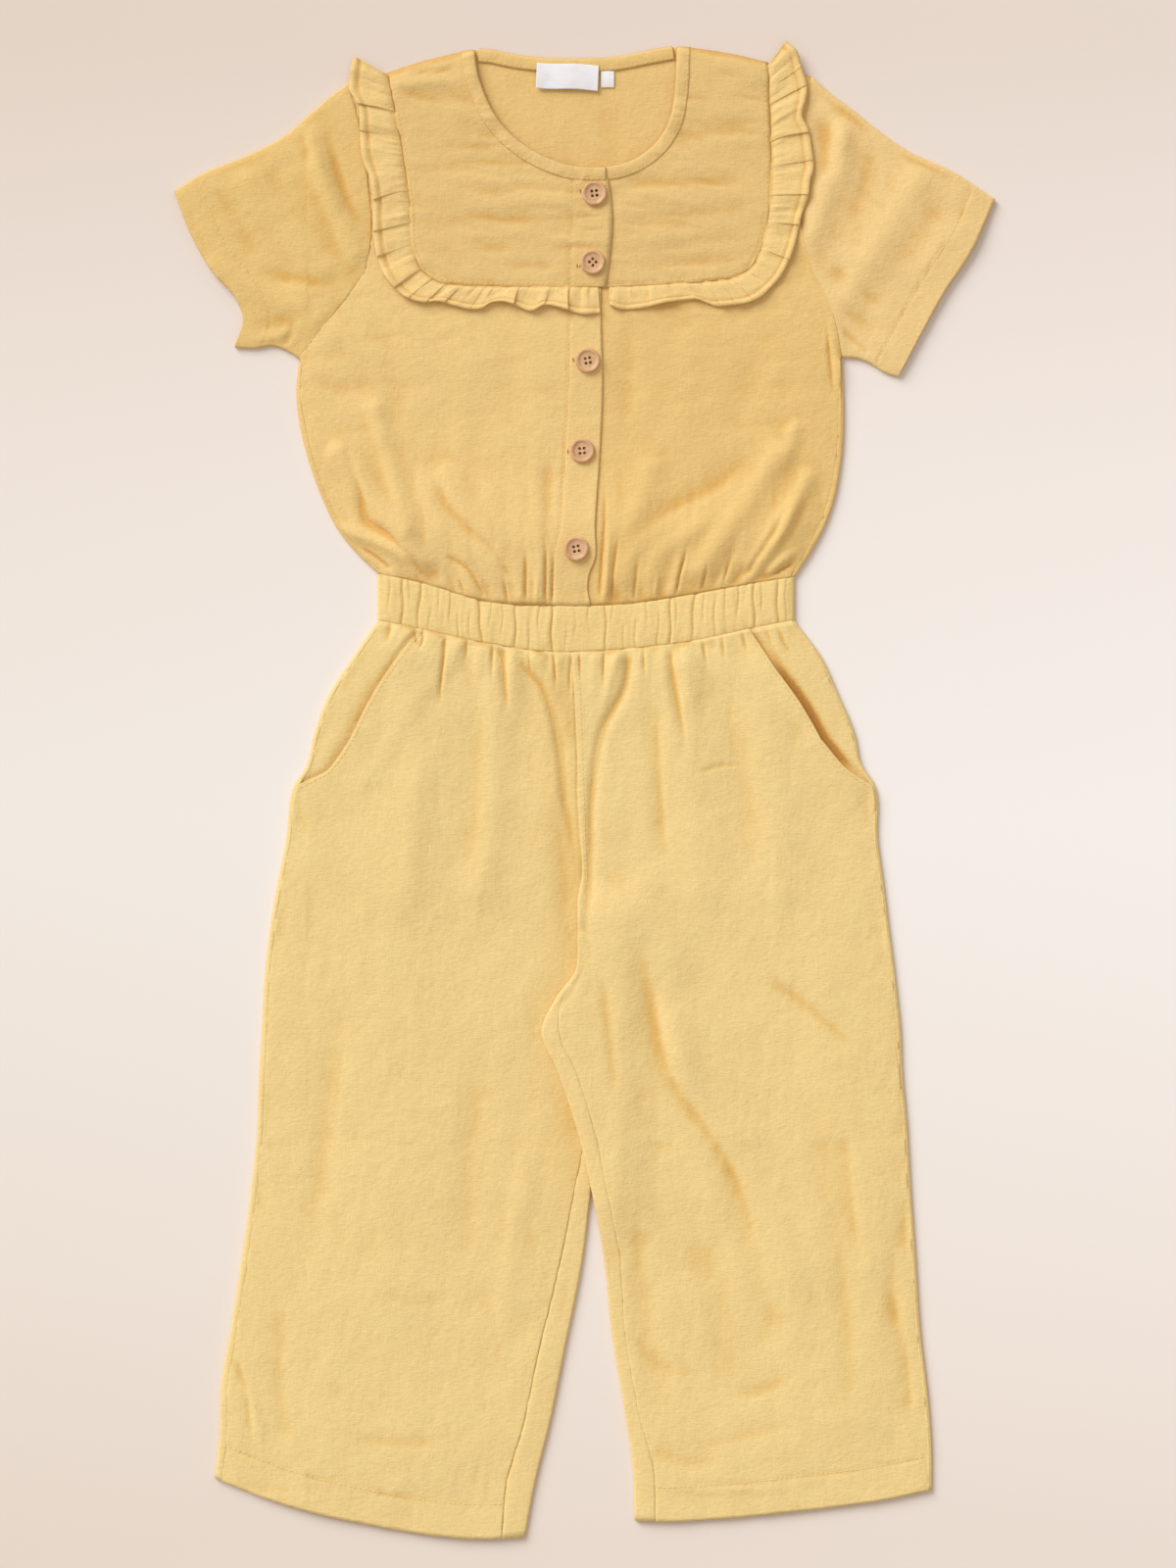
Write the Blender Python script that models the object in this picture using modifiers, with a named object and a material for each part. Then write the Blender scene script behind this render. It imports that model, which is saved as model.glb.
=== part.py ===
"""A child's short-sleeved jumpsuit in crinkled cotton, laid flat on its back.

The garment is drawn in millimetres, seen from above: +X to the right, +Y towards
the neck, +Z up from the surface it lies on.  "left" and "right" are as seen from
above.  Every cloth piece is the mid-surface of a thin wall: a grid of points over
a patch of the plan, lifted to the height of its layer.
"""

import math

import bmesh
import bpy
import numpy as np

MM = 0.001

# ---------------------------------------------------------------- driving sizes
WALL = 1.0  # thickness of one layer of cloth
SEAM = 0.3  # gap between two pieces at a seam
FOLD_R = 1.2  # radius of the mid-surface where a tube of cloth folds at its edge
FLOOR = WALL / 2  # height of the lower layer's mid-surface
TOP = FLOOR + 2 * FOLD_R  # height of the upper layer's mid-surface at a fold
LAP = WALL + 0.35  # rise of one layer lying on another
PUFF_RUN = 14.0  # distance from a fold over which the upper layer rises
PUFF = 0.4  # least rise of the upper layer inside that distance
PRESSED_RUN = 16.0  # the waist seams hold the broad folds down for this far
EDGE_RUN = 3.0  # flat cloth next to a fold, before the first wide face
LEAST_WRAP = 0.2  # the back reaches at least this far past a fold
SIDE_SEAM = 1.8  # how far in front of the bodice's side fold its seam runs
WAIST_GAP = 0.4  # between the waistband and its neighbours
GATHER_SPREAD = 0.8  # how much wider a gather is at its reach

PLACKET_LAP = 1.8  # rise of the left front where it laps over the right one
PLACKET_RAMP = 15.0  # the rise starts this far outside the line of stitches
PLACKET_EARLY = 4.0  # and is whole this far outside it
BINDING_WIDTH = 7.5
BINDING_LAP = 1.5  # rise of the binding on the yoke
BINDING_COLUMNS = 14
SHOULDER_COLUMNS = 3  # of the yoke's top edge
SHOULDER_RUN = (-0.5, 4.5)  # the front rises from the back over this distance
BUTTON_R = 7.5  # a 15 mm wooden button
BUTTON_THICK = 3.0
BUTTON_DISH = 0.9  # depth of the dished face below the rim
BUTTON_RIM = (1.3, 2.6)  # the rim's top and its foot, in from the outside
BUTTON_UNDERCUT = 1.2
HOLE_R = 0.75
HOLE_PITCH = 2.9

# ------------------------------------------------------------------- the outline
# Waistband: height of its top and bottom edge along the front.
WAIST = dict(
    x=(-126, -100, -60, -20, 20, 70, 100, 128),
    top=(132, 126.5, 115, 112.5, 113, 120, 125.5, 130),
    bottom=(104, 98.5, 90, 84.5, 86, 92, 98.5, 104),
)
BAND_LEFT, BAND_RIGHT = -126.0, 128.0

# Side folds of the bodice, from the waist to the underarm.
SIDE_LEFT = (
    (-125, 132), (-139, 145), (-151, 160), (-160, 178),
    (-168, 200), (-173, 219), (-176, 243), (-174, 264),
)
SIDE_RIGHT = (
    (128, 130), (138, 145), (146, 160), (152, 176),
    (156, 196), (158, 217), (158, 242), (157, 265),
)

# Armhole seams, from the underarm to the shoulder.
ARMHOLE_LEFT = (
    (-174, 264), (-160, 283), (-147, 299), (-134, 317),
    (-130, 338), (-132, 370), (-137, 405), (-144, 432),
)
ARMHOLE_RIGHT = (
    (157, 265), (153, 285), (149, 299), (140, 317),
    (134, 338), (132, 370), (134, 405), (139, 436),
)
ARM_TURN = 3  # armhole point level with the yoke's corner

# Yoke seam, from the centre front round the corner to the shoulder.
YOKE_LEFT = (
    (10, 307), (-30, 307), (-74, 308), (-90, 310.5), (-100, 318),
    (-105.5, 331), (-107, 355), (-111, 385), (-116, 413), (-121, 438.5),
)
YOKE_RIGHT = (
    (14, 307), (38, 308), (74, 310.5), (91, 313), (102, 319),
    (108.5, 332), (113, 355), (114, 385), (113, 414), (112, 445),
)
YOKE_TURN = 4  # yoke seam point at the corner
CROTCH_ROW = 8  # leg section just above the crotch
CROTCH = (-4.0, -165.0, 26.0, 95.0)  # centre and half sizes of the crossing, which stays flat

# Centre front edges, from the waist to the yoke, then to the neck.
FRONT_EDGE = ((4, 113.5), (4, 137), (6.5, 160), (9, 200), (11, 250), (10, 290), (10, 307))
FRONT_UNDER = ((-17, 113), (-15, 137), (-13, 160), (-11, 200), (-9, 250), (-9, 290), (-8, 307))
YOKE_EDGE = ((13, 307), (15.5, 326), (17, 346), (16, 364), (13, 379.5))
YOKE_UNDER = ((-7, 307), (-6.5, 326), (-6, 346), (-6, 364), (-6, 379.5))
STITCH_X = dict(y=(113, 145, 160, 196, 250, 307, 380), x=(-20, -19, -15, -13, -10, -9, -8))

# Neck and shoulders, from the ruffle along the shoulder and down the neckline.
NECK_LEFT = (
    (-68, 452.5), (-66, 438), (-62, 426), (-57, 415),
    (-49, 404), (-30, 389), (-8, 380.5), (13, 379.5),
)
NECK_RIGHT = (
    (57, 454.5), (56.5, 439), (55.5, 425), (52, 408),
    (43, 394), (30, 384.5), (14, 380), (-6, 379.5),
)
SHOULDER_LEFT = ((-144, 432), (-121, 438.5), (-97, 446), (-68, 453))
SHOULDER_RIGHT = ((139, 436), (112, 445), (90, 450), (57, 455))
BACK_NECK = (
    (-68, 453), (-56, 452), (-44, 449.5), (-28, 447.5),
    (2, 447), (20, 448), (38, 451.5), (57, 455),
)

# Sleeves: the fold along the top, the fold under the arm, and the cuff from top to bottom.
SLEEVE_TOP_LEFT = (
    (-144, 432), (-154, 425), (-167, 414), (-183, 400),
    (-206, 388), (-235, 376), (-251, 366),
)
SLEEVE_TOP_RIGHT = ((139, 436), (150, 426), (161, 418), (177, 405), (197, 391), (225, 378), (251, 361))
SLEEVE_UNDER_LEFT = ((-174, 264), (-182, 269), (-190, 272), (-202, 270.5), (-214, 271))
SLEEVE_UNDER_RIGHT = ((157, 265), (168, 264), (177, 260), (184, 255.5), (192, 253))
CUFF_LEFT = ((-251, 366), (-241, 340), (-227, 316), (-213, 300), (-209, 289), (-214, 271))
CUFF_RIGHT = ((251, 361), (236, 328), (220, 304), (206, 279), (192, 253))

# Leg sections, from the waist to the hem: the outer and the inner edge of the tube, how
# far in from each edge the seam runs, and how far the back wraps round the inner fold.
LEG_COLUMNS = ("x_out", "y_out", "x_in", "y_in", "seam_out", "seam_in", "wrap")
LEG_LEFT = (
    (-126, 103.5, -8, 84, 2.0, 0, 0),
    (-142, 80, -6, 62, 2.0, 0, 0),
    (-156, 58, -5, 40, 2.0, 0, 0),
    (-165, 34, -4, 18, 2.0, 0, 0),
    (-170, 14, -4, -2, 2.0, 0, 0),
    (-177, 3, -3, -22, 2.0, 0, 0),
    (-182, -30, -1, -48, 2.0, 0, 0),
    (-188, -60, -1, -70, 2.2, 0, 0),
    (-192, -85, -2, -90, 2.4, 1.0, 0),
    (-195, -110, 3, -112, 2.6, 3.0, 1),
    (-197, -145, 9, -148, 2.8, 4, 1),
    (-199, -180, 10, -180, 3.0, 6, 1),
    (-200, -209, 8, -212, 3.0, 8, 1),
    (-203, -240, 4, -242, 3.2, 10, 1),
    (-209, -284, -2, -290, 3.4, 14, 1),
    (-216, -329, -12, -340, 3.6, 16, 1),
    (-222, -365, -22, -389, 4.0, 16, 1),
    (-223, -395, -30, -421, 4.5, 18, 1),
    (-226, -421, -37, -457, 4.5, 14, 1),
)
LEG_RIGHT = (
    (128, 103.5, -8, 84, 1.6, 0, 0),
    (145, 80, -6, 62, 1.6, 0, 0),
    (155, 58, -5, 40, 1.6, 0, 0),
    (165, 34, -4, 18, 1.6, 0, 0),
    (169, 16, -4, -2, 1.6, 0, 0),
    (177, 3, -3, -22, 1.6, 0, 0),
    (179, -30, -1, -48, 1.6, 0, 0),
    (183, -60, -1, -70, 1.6, 0, 0),
    (186, -85, -2, -90, 1.6, 1.0, 0),
    (189, -108, -5, -110, 1.6, 3.0, 1),
    (191, -126, -17, -127, 1.8, 3.2, 1),
    (193, -146, -26, -148, 1.8, 11.5, 1),
    (194, -170, -17, -170, 1.8, 12, 1),
    (197, -205, -5, -205, 1.8, 11, 1),
    (199, -240, 4, -242, 1.8, 9.5, 1),
    (202, -284, 12, -284, 1.8, 10, 1),
    (205, -330, 17, -332, 1.8, 8, 1),
    (210, -374, 25, -381, 2.0, 8.5, 1),
    (212, -404, 30, -415, 2.0, 13, 1),
    (212, -428, 31, -447, 2.0, 13, 1),
)
HEM_LEFT = (
    (-226, -421), (-193, -434), (-166, -442), (-131, -449.5),
    (-92, -456), (-64, -458), (-37, -457),
)
HEM_RIGHT = ((212, -428), (184, -434), (164, -437), (122, -442), (80, -446), (50, -447.5), (31, -447))

# Pocket openings, from the waist seam to the side.
POCKET_LEFT = ((-101, 98), (-121, 77), (-133, 59), (-144, 40), (-154, 25), (-163, 16), (-176.5, 4))
POCKET_RIGHT = ((101, 98), (117, 77), (131, 60), (145, 41), (158, 23), (169, 9), (176.5, 4))
POCKET_ROWS = 5  # leg sections that the pocket opening runs past
POCKET_TUCK = 26.0  # how far the pocket piece reaches in under the front
POCKET_DIP = 0.8  # the front rises and the pocket piece dips by this where they lap
POCKET_STEP = (-5.0, -0.5)  # where it dips, from the opening inwards
POCKET_FADE = (-20.0, 5.0)  # the front's rise ends between these heights

# The right leg's inner edge lies over the left leg's below the crotch.
CROSS_LIFT = 3.9
CROSS_X = (18.0, 46.0)  # fully lifted, resting again
CROSS_Y = (-50.0, -80.0, -246.0, -292.0)  # starts, full, full, ends

# Ruffle sections from the shoulder to the centre front: root on the yoke seam, and tip.
RUFFLE_COLUMNS = ("root_x", "root_y", "tip_x", "tip_y")
RUFFLE_LEFT = (
    (-121.8, 437.5, -142, 447),
    (-117, 413, -140, 417),
    (-112, 385, -137, 390),
    (-108, 357, -131, 360),
    (-106.3, 333, -128, 333),
    (-101.5, 317.5, -118, 308),
    (-91, 309.5, -101, 297),
    (-74, 307, -77, 295),
    (-52, 306, -54, 294),
    (-28, 306, -29, 293),
    (-6, 306, -6, 292),
    (8.5, 306, 8.5, 291),
)
RUFFLE_RIGHT = (
    (112.6, 443.5, 122, 458),
    (114, 416, 136, 425),
    (115, 386, 138.5, 386),
    (114, 356, 134, 356),
    (109.5, 332, 127, 328),
    (103, 318, 114, 306),
    (91.5, 312, 97, 297),
    (74, 309.5, 76, 297),
    (56, 308.2, 56, 296),
    (38, 307, 38, 294),
    (15, 306, 15, 294),
)
RUFFLE_WAVES = 17  # on each side
RUFFLE_WANDER = 0.9  # unevenness of their spacing, in radians of the wave
RUFFLE_CLEAR = 0.35  # more room under the ruffle than under other layers
RUFFLE_WAVE_HEIGHT = 3.4
RUFFLE_ROOT_HEIGHT = 0.5

# Place of each button and how far its holes are turned.
BUTTONS = ((6, 364, 8), (5, 322, 45), (2, 262, 10), (-1.5, 207, 5), (-5, 147, 12))
LABEL_CENTRE, LABEL_SIZE, LABEL_TURN = (-10.5, 436.0), (38.0, 15.5), -2.5
TAG_CENTRE, TAG_SIZE = (14.0, 434.6), (8.0, 10.0)
LABEL_BULGE = 0.5

# ---------------------------------------------------------- folds of the upper layer
# Soft ridges: a line from one point to another, half its width, and its height.
RIDGE_COLUMNS = ("x0", "y0", "x1", "y1", "half_width", "height")
RIDGES = (
    # blouse above the waistband
    (-105, 158, 110, 158, 26, 3.2),
    (-150, 205, -98, 138, 7, 3.4),
    (-128, 232, -108, 160, 6, 2.0),
    (-84, 190, -50, 130, 9, 2.2),
    (40, 195, 22, 130, 9, 1.8),
    (118, 205, 70, 132, 8, 2.6),
    (136, 190, 104, 136, 6, 2.6),
    # bodice and yoke
    (-120, 280, 120, 276, 30, 1.2),
    (-90, 360, -15, 358, 9, 0.9),
    (25, 352, 100, 356, 10, 0.9),
    (-112, 430, -60, 408, 7, 1.2),
    # sleeves
    (-172, 405, -140, 330, 8, 2.6),
    (-205, 372, -160, 318, 9, 1.8),
    (-225, 318, -165, 290, 9, 1.8),
    (160, 405, 140, 340, 8, 2.4),
    (205, 375, 160, 300, 10, 1.8),
    # trousers
    (-100, 78, -112, -60, 22, 1.8),
    (-52, 78, -62, -60, 12, 1.8),
    (60, 78, 72, -60, 16, 1.8),
    (108, 70, 122, -60, 14, 1.6),
    (-110, -120, -125, -400, 40, 1.6),
    (38, -60, 60, -160, 14, 1.6),
    (60, -160, 110, -300, 22, 1.6),
    (150, -120, 160, -380, 24, 1.6),
)
# Gathers at the waist seams: place, half width, height, reach and lean of each.
GATHER_COLUMNS = ("x", "half_width", "height", "reach", "lean")
BODICE_GATHERS = (
    (-114, 4.0, 1.8, 14, -0.5),
    (-101, 5.0, 2.4, 22, -0.6),
    (-84, 4.5, 1.4, 16, -0.3),
    (-68, 4.5, 2.0, 26, -0.25),
    (-50, 4.0, 1.6, 18, -0.1),
    (-39, 3.6, 2.2, 26, 0),
    (-27, 3.4, 2.4, 40, 0),
    (12, 3.4, 2.4, 42, 0.1),
    (24, 4.5, 1.6, 30, 0.1),
    (40, 4.5, 1.4, 20, 0.1),
    (55, 3.8, 2.2, 26, 0.2),
    (70, 4.0, 1.4, 16, 0.4),
    (84, 4.0, 1.8, 22, 0.6),
    (98, 4.5, 2.2, 24, 0.7),
    (112, 4.0, 1.8, 16, 0.7),
)
LEG_GATHERS = (
    (-112, 4.0, 1.8, 14, 0.2),
    (-92, 4.5, 1.2, 16, 0),
    (-78, 4.0, 1.8, 24, 0),
    (-60, 4.0, 1.2, 18, 0),
    (-44, 4.0, 2.2, 26, 0.05),
    (-31, 3.8, 1.8, 34, 0.2),
    (-16, 3.6, 1.4, 22, 0),
    (6, 3.6, 1.6, 24, 0),
    (20, 4.0, 1.4, 18, 0),
    (36, 4.0, 1.6, 22, 0),
    (48, 4.2, 2.0, 34, 0.1),
    (66, 4.5, 1.6, 26, 0.1),
    (84, 4.0, 1.6, 22, 0.1),
    (116, 4.0, 1.8, 14, 0.4),
)
BAND_WAVES = 31  # gathers round the front half of the waistband
BAND_WAVE_HEIGHT = 1.0

# ------------------------------------------------------------------ mesh densities
SIDE_SPANS = 7  # bodice rows from the waist to the underarm
TURN_SPANS = 4  # rows in the fan below the yoke
STRIP_SPANS = 4  # rows from the yoke's corner to the shoulder
FRONT_COLUMNS = 26
BACK_COLUMNS = 10
YOKE_COLUMNS = 10
YOKE_ROWS = 8
SLEEVE_ROWS = 6
LEG_FRONT_COLUMNS = 16
POCKET_COLUMNS = 8
PLAN_COLUMNS = 40  # columns of the plan grids that sections are read from
ARC_STEPS = 4  # steps round a fold
BAND_STEPS = 100  # columns along the front of the waistband
RUFFLE_STEPS = 4  # columns to each wave
RUFFLE_ROWS = (0, 0.5, 1.0)  # from the root to the tip
# Where a back panel's sections have points, closer together near the crossing legs.
BACK_SHARES = (0.12, 0.3, 0.5, 0.65, 0.73, 0.8, 0.87, 0.94)
BUTTON_STEPS = 18

COTTON = (0.80, 0.58, 0.26)
COTTON_BAND = (0.82, 0.61, 0.28)
WOOD = (0.66, 0.42, 0.24)
LABEL_WHITE = (0.82, 0.80, 0.78)


# --------------------------------------------------------------------- plan curves
def smooth(points, steps):
    """The points of a smooth curve through these ones, with that many steps between each two."""
    p = np.array(points, float)
    chord = np.linalg.norm(np.diff(p, axis=0), axis=1)
    slope = np.diff(p, axis=0) / chord[:, None]
    weight = (chord[1:] / (chord[1:] + chord[:-1]))[:, None]
    tangent = np.vstack([slope[:1], slope[:-1] * weight + slope[1:] * (1 - weight), slope[-1:]])
    found = [p[0]]
    for i in range(len(p) - 1):
        for t in np.arange(1, steps + 1) / steps:
            ends = p[i] * (1 + 2 * t) * (1 - t) ** 2 + p[i + 1] * t * t * (3 - 2 * t)
            bow = tangent[i] * t * (1 - t) ** 2 - tangent[i + 1] * t * t * (1 - t)
            found.append(ends + chord[i] * bow)
    return np.array(found)


def spaced(points, count, curved=True):
    """count + 1 points at even distances along the curve through these ones."""
    line = smooth(points, 12) if curved else np.array(points, float)
    run = np.concatenate([[0], np.cumsum(np.linalg.norm(np.diff(line, axis=0), axis=1))])
    at = np.linspace(0, run[-1], count + 1)
    return np.stack([np.interp(at, run, line[:, k]) for k in (0, 1)], axis=1)


def moved(line, distance):
    """The line moved to the left of its own direction."""
    along = np.gradient(line, axis=0)
    along /= np.linalg.norm(along, axis=1)[:, None]
    return line + distance * np.stack([-along[:, 1], along[:, 0]], axis=1)


def coons(left, right, bottom, top):
    """A grid of plan points [row, column] that fills the space between four edges."""
    v = np.linspace(0, 1, len(left))[:, None, None]
    u = np.linspace(0, 1, len(bottom))[None, :, None]
    ruled = (1 - u) * left[:, None] + u * right[:, None] + (1 - v) * bottom[None] + v * top[None]
    low_corners = (1 - v) * ((1 - u) * bottom[0] + u * bottom[-1])
    high_corners = v * ((1 - u) * top[0] + u * top[-1])
    return ruled - low_corners - high_corners


def band_y(which, x):
    """Y of the waistband's top or bottom edge at x."""
    table = smooth(list(zip(WAIST["x"], WAIST[which])), 8)
    return np.interp(x, table[:, 0], table[:, 1])


def waist_edge(which, x0, x1, count, gap):
    """The waistband's top or bottom edge between two places, moved out by the gap."""
    x = np.linspace(x0, x1, count + 1)
    return np.stack([x, band_y(which, x) + gap], axis=1)


def ramp(value, start, full):
    """0 before start, 1 past full, and smooth between."""
    t = np.clip((np.asarray(value, float) - start) / (full - start), 0, 1)
    return t * t * (3 - 2 * t)


def table_edge(table, columns, x, y):
    """The plan points in two columns of a table."""
    return [(row[columns.index(x)], row[columns.index(y)]) for row in table]


def leg_edge(table, side):
    return table_edge(table, LEG_COLUMNS, "x_" + side, "y_" + side)


# ------------------------------------------------------------- height of the layers
def fold_lines():
    """Every line along which the cloth folds from its lower to its upper layer."""
    lines = [SIDE_LEFT, SIDE_RIGHT, SLEEVE_TOP_LEFT, SLEEVE_TOP_RIGHT, SLEEVE_UNDER_LEFT]
    lines += [SLEEVE_UNDER_RIGHT, SHOULDER_LEFT, SHOULDER_RIGHT, BACK_NECK]
    lines += [leg_edge(LEG_LEFT, "out"), leg_edge(LEG_RIGHT, "out")]
    lines += [leg_edge(LEG_LEFT, "in")[CROTCH_ROW:], leg_edge(LEG_RIGHT, "in")[CROTCH_ROW:]]
    lines += [[(x, band_y("bottom", x)), (x, band_y("top", x))] for x in (BAND_LEFT, BAND_RIGHT)]
    return lines


def to_line(points, line):
    """Distance of each point to a broken line."""
    p = points.reshape(-1, 1, 2)
    line = np.array(line, float)
    a, b = line[:-1][None], line[1:][None]
    ab = b - a
    t = np.clip(((p - a) * ab).sum(-1) / (ab * ab).sum(-1), 0, 1)
    gap = np.linalg.norm(p - a - t[..., None] * ab, axis=-1)
    return gap.min(axis=1).reshape(points.shape[:-1])


def ridge_rise(points, row):
    ridge = dict(zip(RIDGE_COLUMNS, row))
    across = to_line(points, ((ridge["x0"], ridge["y0"]), (ridge["x1"], ridge["y1"])))
    return ridge["height"] * np.exp(-((across / ridge["half_width"]) ** 2))


def gather_rise(points, gathers, away):
    """Rise of the gathers that run from a waist seam, at these distances from it."""
    total = np.zeros(points.shape[:-1])
    for row in gathers:
        gather = dict(zip(GATHER_COLUMNS, row))
        across = points[..., 0] - gather["x"] - gather["lean"] * away
        share = away / gather["reach"]
        width = gather["half_width"] * (1 + GATHER_SPREAD * share)
        total += gather["height"] * np.exp(-((across / width) ** 2) - share**1.5)
    return total


def band_rise(x):
    """Gathers of the waistband, uneven because the phase of the wave wanders."""
    phase = 2 * math.pi * BAND_WAVES * (x - BAND_LEFT) / (BAND_RIGHT - BAND_LEFT)
    under_placket = 1 - 0.75 * np.exp(-(((x - 8) / 22) ** 2))
    ends = ramp(np.minimum(x - BAND_LEFT, BAND_RIGHT - x), 0, 8)
    return BAND_WAVE_HEIGHT * ends * under_placket * (0.5 + 0.5 * np.sin(phase + 1.6 * np.sin(phase / 5.3)))


def upper(points):
    """Height of the upper layer's mid-surface at these plan points."""
    x, y = points[..., 0], points[..., 1]
    edge = np.min([to_line(points, line) for line in fold_lines()], axis=0)
    over_band, under_band = y - band_y("top", x), band_y("bottom", x) - y
    pressed = ramp(np.maximum(over_band, under_band), 0, PRESSED_RUN)
    flat_crotch = np.exp(-(((x - CROTCH[0]) / CROTCH[2]) ** 2) - ((y - CROTCH[1]) / CROTCH[3]) ** 4)
    ridges = sum(ridge_rise(points, ridge) for ridge in RIDGES) * (1 - flat_crotch) * pressed
    gathers = np.where(
        over_band > under_band,
        gather_rise(points, BODICE_GATHERS, np.maximum(over_band, 0)),
        gather_rise(points, LEG_GATHERS, np.maximum(under_band, 0)),
    )
    return TOP + ramp(edge, 0, PUFF_RUN) * (PUFF + ridges + gathers)


def placket_lap(points):
    """Extra rise of the left front over the right one."""
    stitch = np.interp(points[..., 1], STITCH_X["y"], STITCH_X["x"])
    return PLACKET_LAP * ramp(points[..., 0], stitch - PLACKET_RAMP, stitch - PLACKET_EARLY)


def no_lap(points):
    return np.zeros(points.shape[:-1])


def on_shoulder(points, height):
    """Height near a shoulder, where the front comes down to lie just above the back."""
    near = np.minimum(to_line(points, SHOULDER_LEFT), to_line(points, SHOULDER_RIGHT))
    rest = FLOOR + WALL + SEAM
    return rest + (height - rest) * ramp(near, *SHOULDER_RUN)


def crossing_lift(points):
    """Rise of the right leg where it lies over the left one."""
    start, full, last, end = CROSS_Y
    across = 1 - ramp(points[..., 0], *CROSS_X)
    down = -points[..., 1]
    along_leg = ramp(down, -start, -full) * (1 - ramp(down, -last, -end))
    return CROSS_LIFT * across * along_leg


# ---------------------------------------------------------------------- solid pieces
def material(name, colour, roughness):
    made = bpy.data.materials.new(name)
    made.use_nodes = True
    shader = made.node_tree.nodes["Principled BSDF"]
    shader.inputs["Base Color"].default_value = (*colour, 1)
    shader.inputs["Roughness"].default_value = roughness
    shader.inputs["Metallic"].default_value = 0
    return made


def add_object(name, mesh, finish):
    made = bpy.data.objects.new(name, mesh)
    garment.objects.link(made)
    mesh.materials.append(finish)
    mesh.shade_smooth()
    return made


def cloth(name, plan, height, finish, ring=False):
    """A wall of cloth whose mid-surface is a grid of plan points at these heights, in millimetres."""
    rows, columns = height.shape[0] - 1, height.shape[1] - 1
    sheet = bmesh.new()
    bmesh.ops.create_grid(sheet, x_segments=columns, y_segments=rows, size=1)
    for vertex in sheet.verts:
        i = round((vertex.co.y + 1) / 2 * rows)
        j = round((vertex.co.x + 1) / 2 * columns)
        vertex.co = (*(plan[i, j] * MM), height[i, j] * MM)
    if ring:
        bmesh.ops.remove_doubles(sheet, verts=sheet.verts, dist=1e-6)
    mesh = bpy.data.meshes.new(name)
    sheet.to_mesh(mesh)
    sheet.free()
    made = add_object(name, mesh, finish)
    wall = made.modifiers.new("wall", "SOLIDIFY")
    wall.thickness = WALL * MM
    wall.offset = 0
    return made


# ----------------------------------------------------------- sections with folded edges
# A section is a list of (share of the row's width, height over the lower layer); the
# height is None on the upper layer, which has its own height everywhere.
def fold_arc(width):
    """Round a fold, from the lower layer to the upper one."""
    angles = np.linspace(0, math.pi, ARC_STEPS + 1)
    return [(FOLD_R * (1 - math.sin(a)) / width, FOLD_R * (1 - math.cos(a))) for a in angles]


def folded_edge(width, seam):
    """From a seam on the upper layer round the fold and in under it."""
    on_top = max(seam - SEAM / 2, FOLD_R + LEAST_WRAP)
    return [(on_top / width, None), *fold_arc(width)[::-1], ((FOLD_R + EDGE_RUN) / width, 0)]


def plain_edge(width):
    """A cut edge on the lower layer, with as many points as a folded one."""
    return [(d / width, 0) for d in np.linspace(SEAM, FOLD_R + EDGE_RUN, ARC_STEPS + 3)]


def section(first, shares, last):
    """A whole row from its first edge to its last one, along the lower layer."""
    return first + [(share, 0) for share in shares] + [(1 - share, z) for share, z in reversed(last)]


def ring_section(width, shares):
    """A tube's row: over the top, round the last edge, back below and round the first edge."""
    arc = fold_arc(width)
    found = [(share, None) for share in shares] + [(1 - share, z) for share, z in reversed(arc)]
    found += [(share, 0) for share in reversed(shares)] + arc
    return found + found[:1]


def along(row, share):
    """Plan point at a share of the way along a row of a grid."""
    places = np.linspace(0, 1, len(row))
    return np.array([np.interp(share, places, row[:, k]) for k in (0, 1)])


def widths(grid):
    return np.linalg.norm(grid[:, -1] - grid[:, 0], axis=1)


def from_sections(name, grid, sections, lift, ring=False):
    """A piece of cloth from a plan grid and a section for each of its rows."""
    plan = np.array([[along(row, share) for share, _ in line] for row, line in zip(grid, sections)])
    over = np.array([[np.nan if z is None else z for _, z in line] for line in sections])
    height = np.where(np.isnan(over), upper(plan), FLOOR + np.nan_to_num(over)) + lift(plan)
    return cloth(name, plan, height, cotton, ring)


# --------------------------------------------------------------------------- bodice
def armhole(points, gap):
    """Armhole points, matched to the rows of the fronts, moved by the gap."""
    low = spaced(points[: ARM_TURN + 1], TURN_SPANS)
    high = spaced(points[ARM_TURN:], STRIP_SPANS)
    return moved(np.vstack([low, high[1:]]), gap)


def side_seam_inset():
    """How far in from the side fold the seam runs, on each row up to the underarm."""
    return SIDE_SEAM * (1 - ramp(np.linspace(0, 1, SIDE_SPANS + 1), 0.7, 1.0)) + FOLD_R


def front(name, side, arm, edge, yoke, inward, lap):
    """One front: from the side seam to the centre, and up between armhole and yoke."""
    seam = spaced(side, SIDE_SPANS)
    seam[:, 0] += inward * (side_seam_inset() + SEAM / 2)
    outer = np.vstack([seam[:-1], armhole(arm, -inward * SEAM / 2)])
    centre = spaced(edge, SIDE_SPANS)
    fan = spaced(yoke[: YOKE_TURN + 1], TURN_SPANS)
    strip = spaced(yoke[YOKE_TURN:], STRIP_SPANS)
    inner = np.vstack([centre, fan[1:], strip[1:]])
    low = waist_edge("top", seam[0][0], centre[0][0], FRONT_COLUMNS, WAIST_GAP)
    outer[0], inner[0] = low[0], low[-1]
    top = spaced((outer[-1], inner[-1]), FRONT_COLUMNS, curved=False)
    plan = coons(outer, inner, low, top)
    return cloth(name, plan, on_shoulder(plan, upper(plan) + lap(plan)), cotton)


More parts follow.
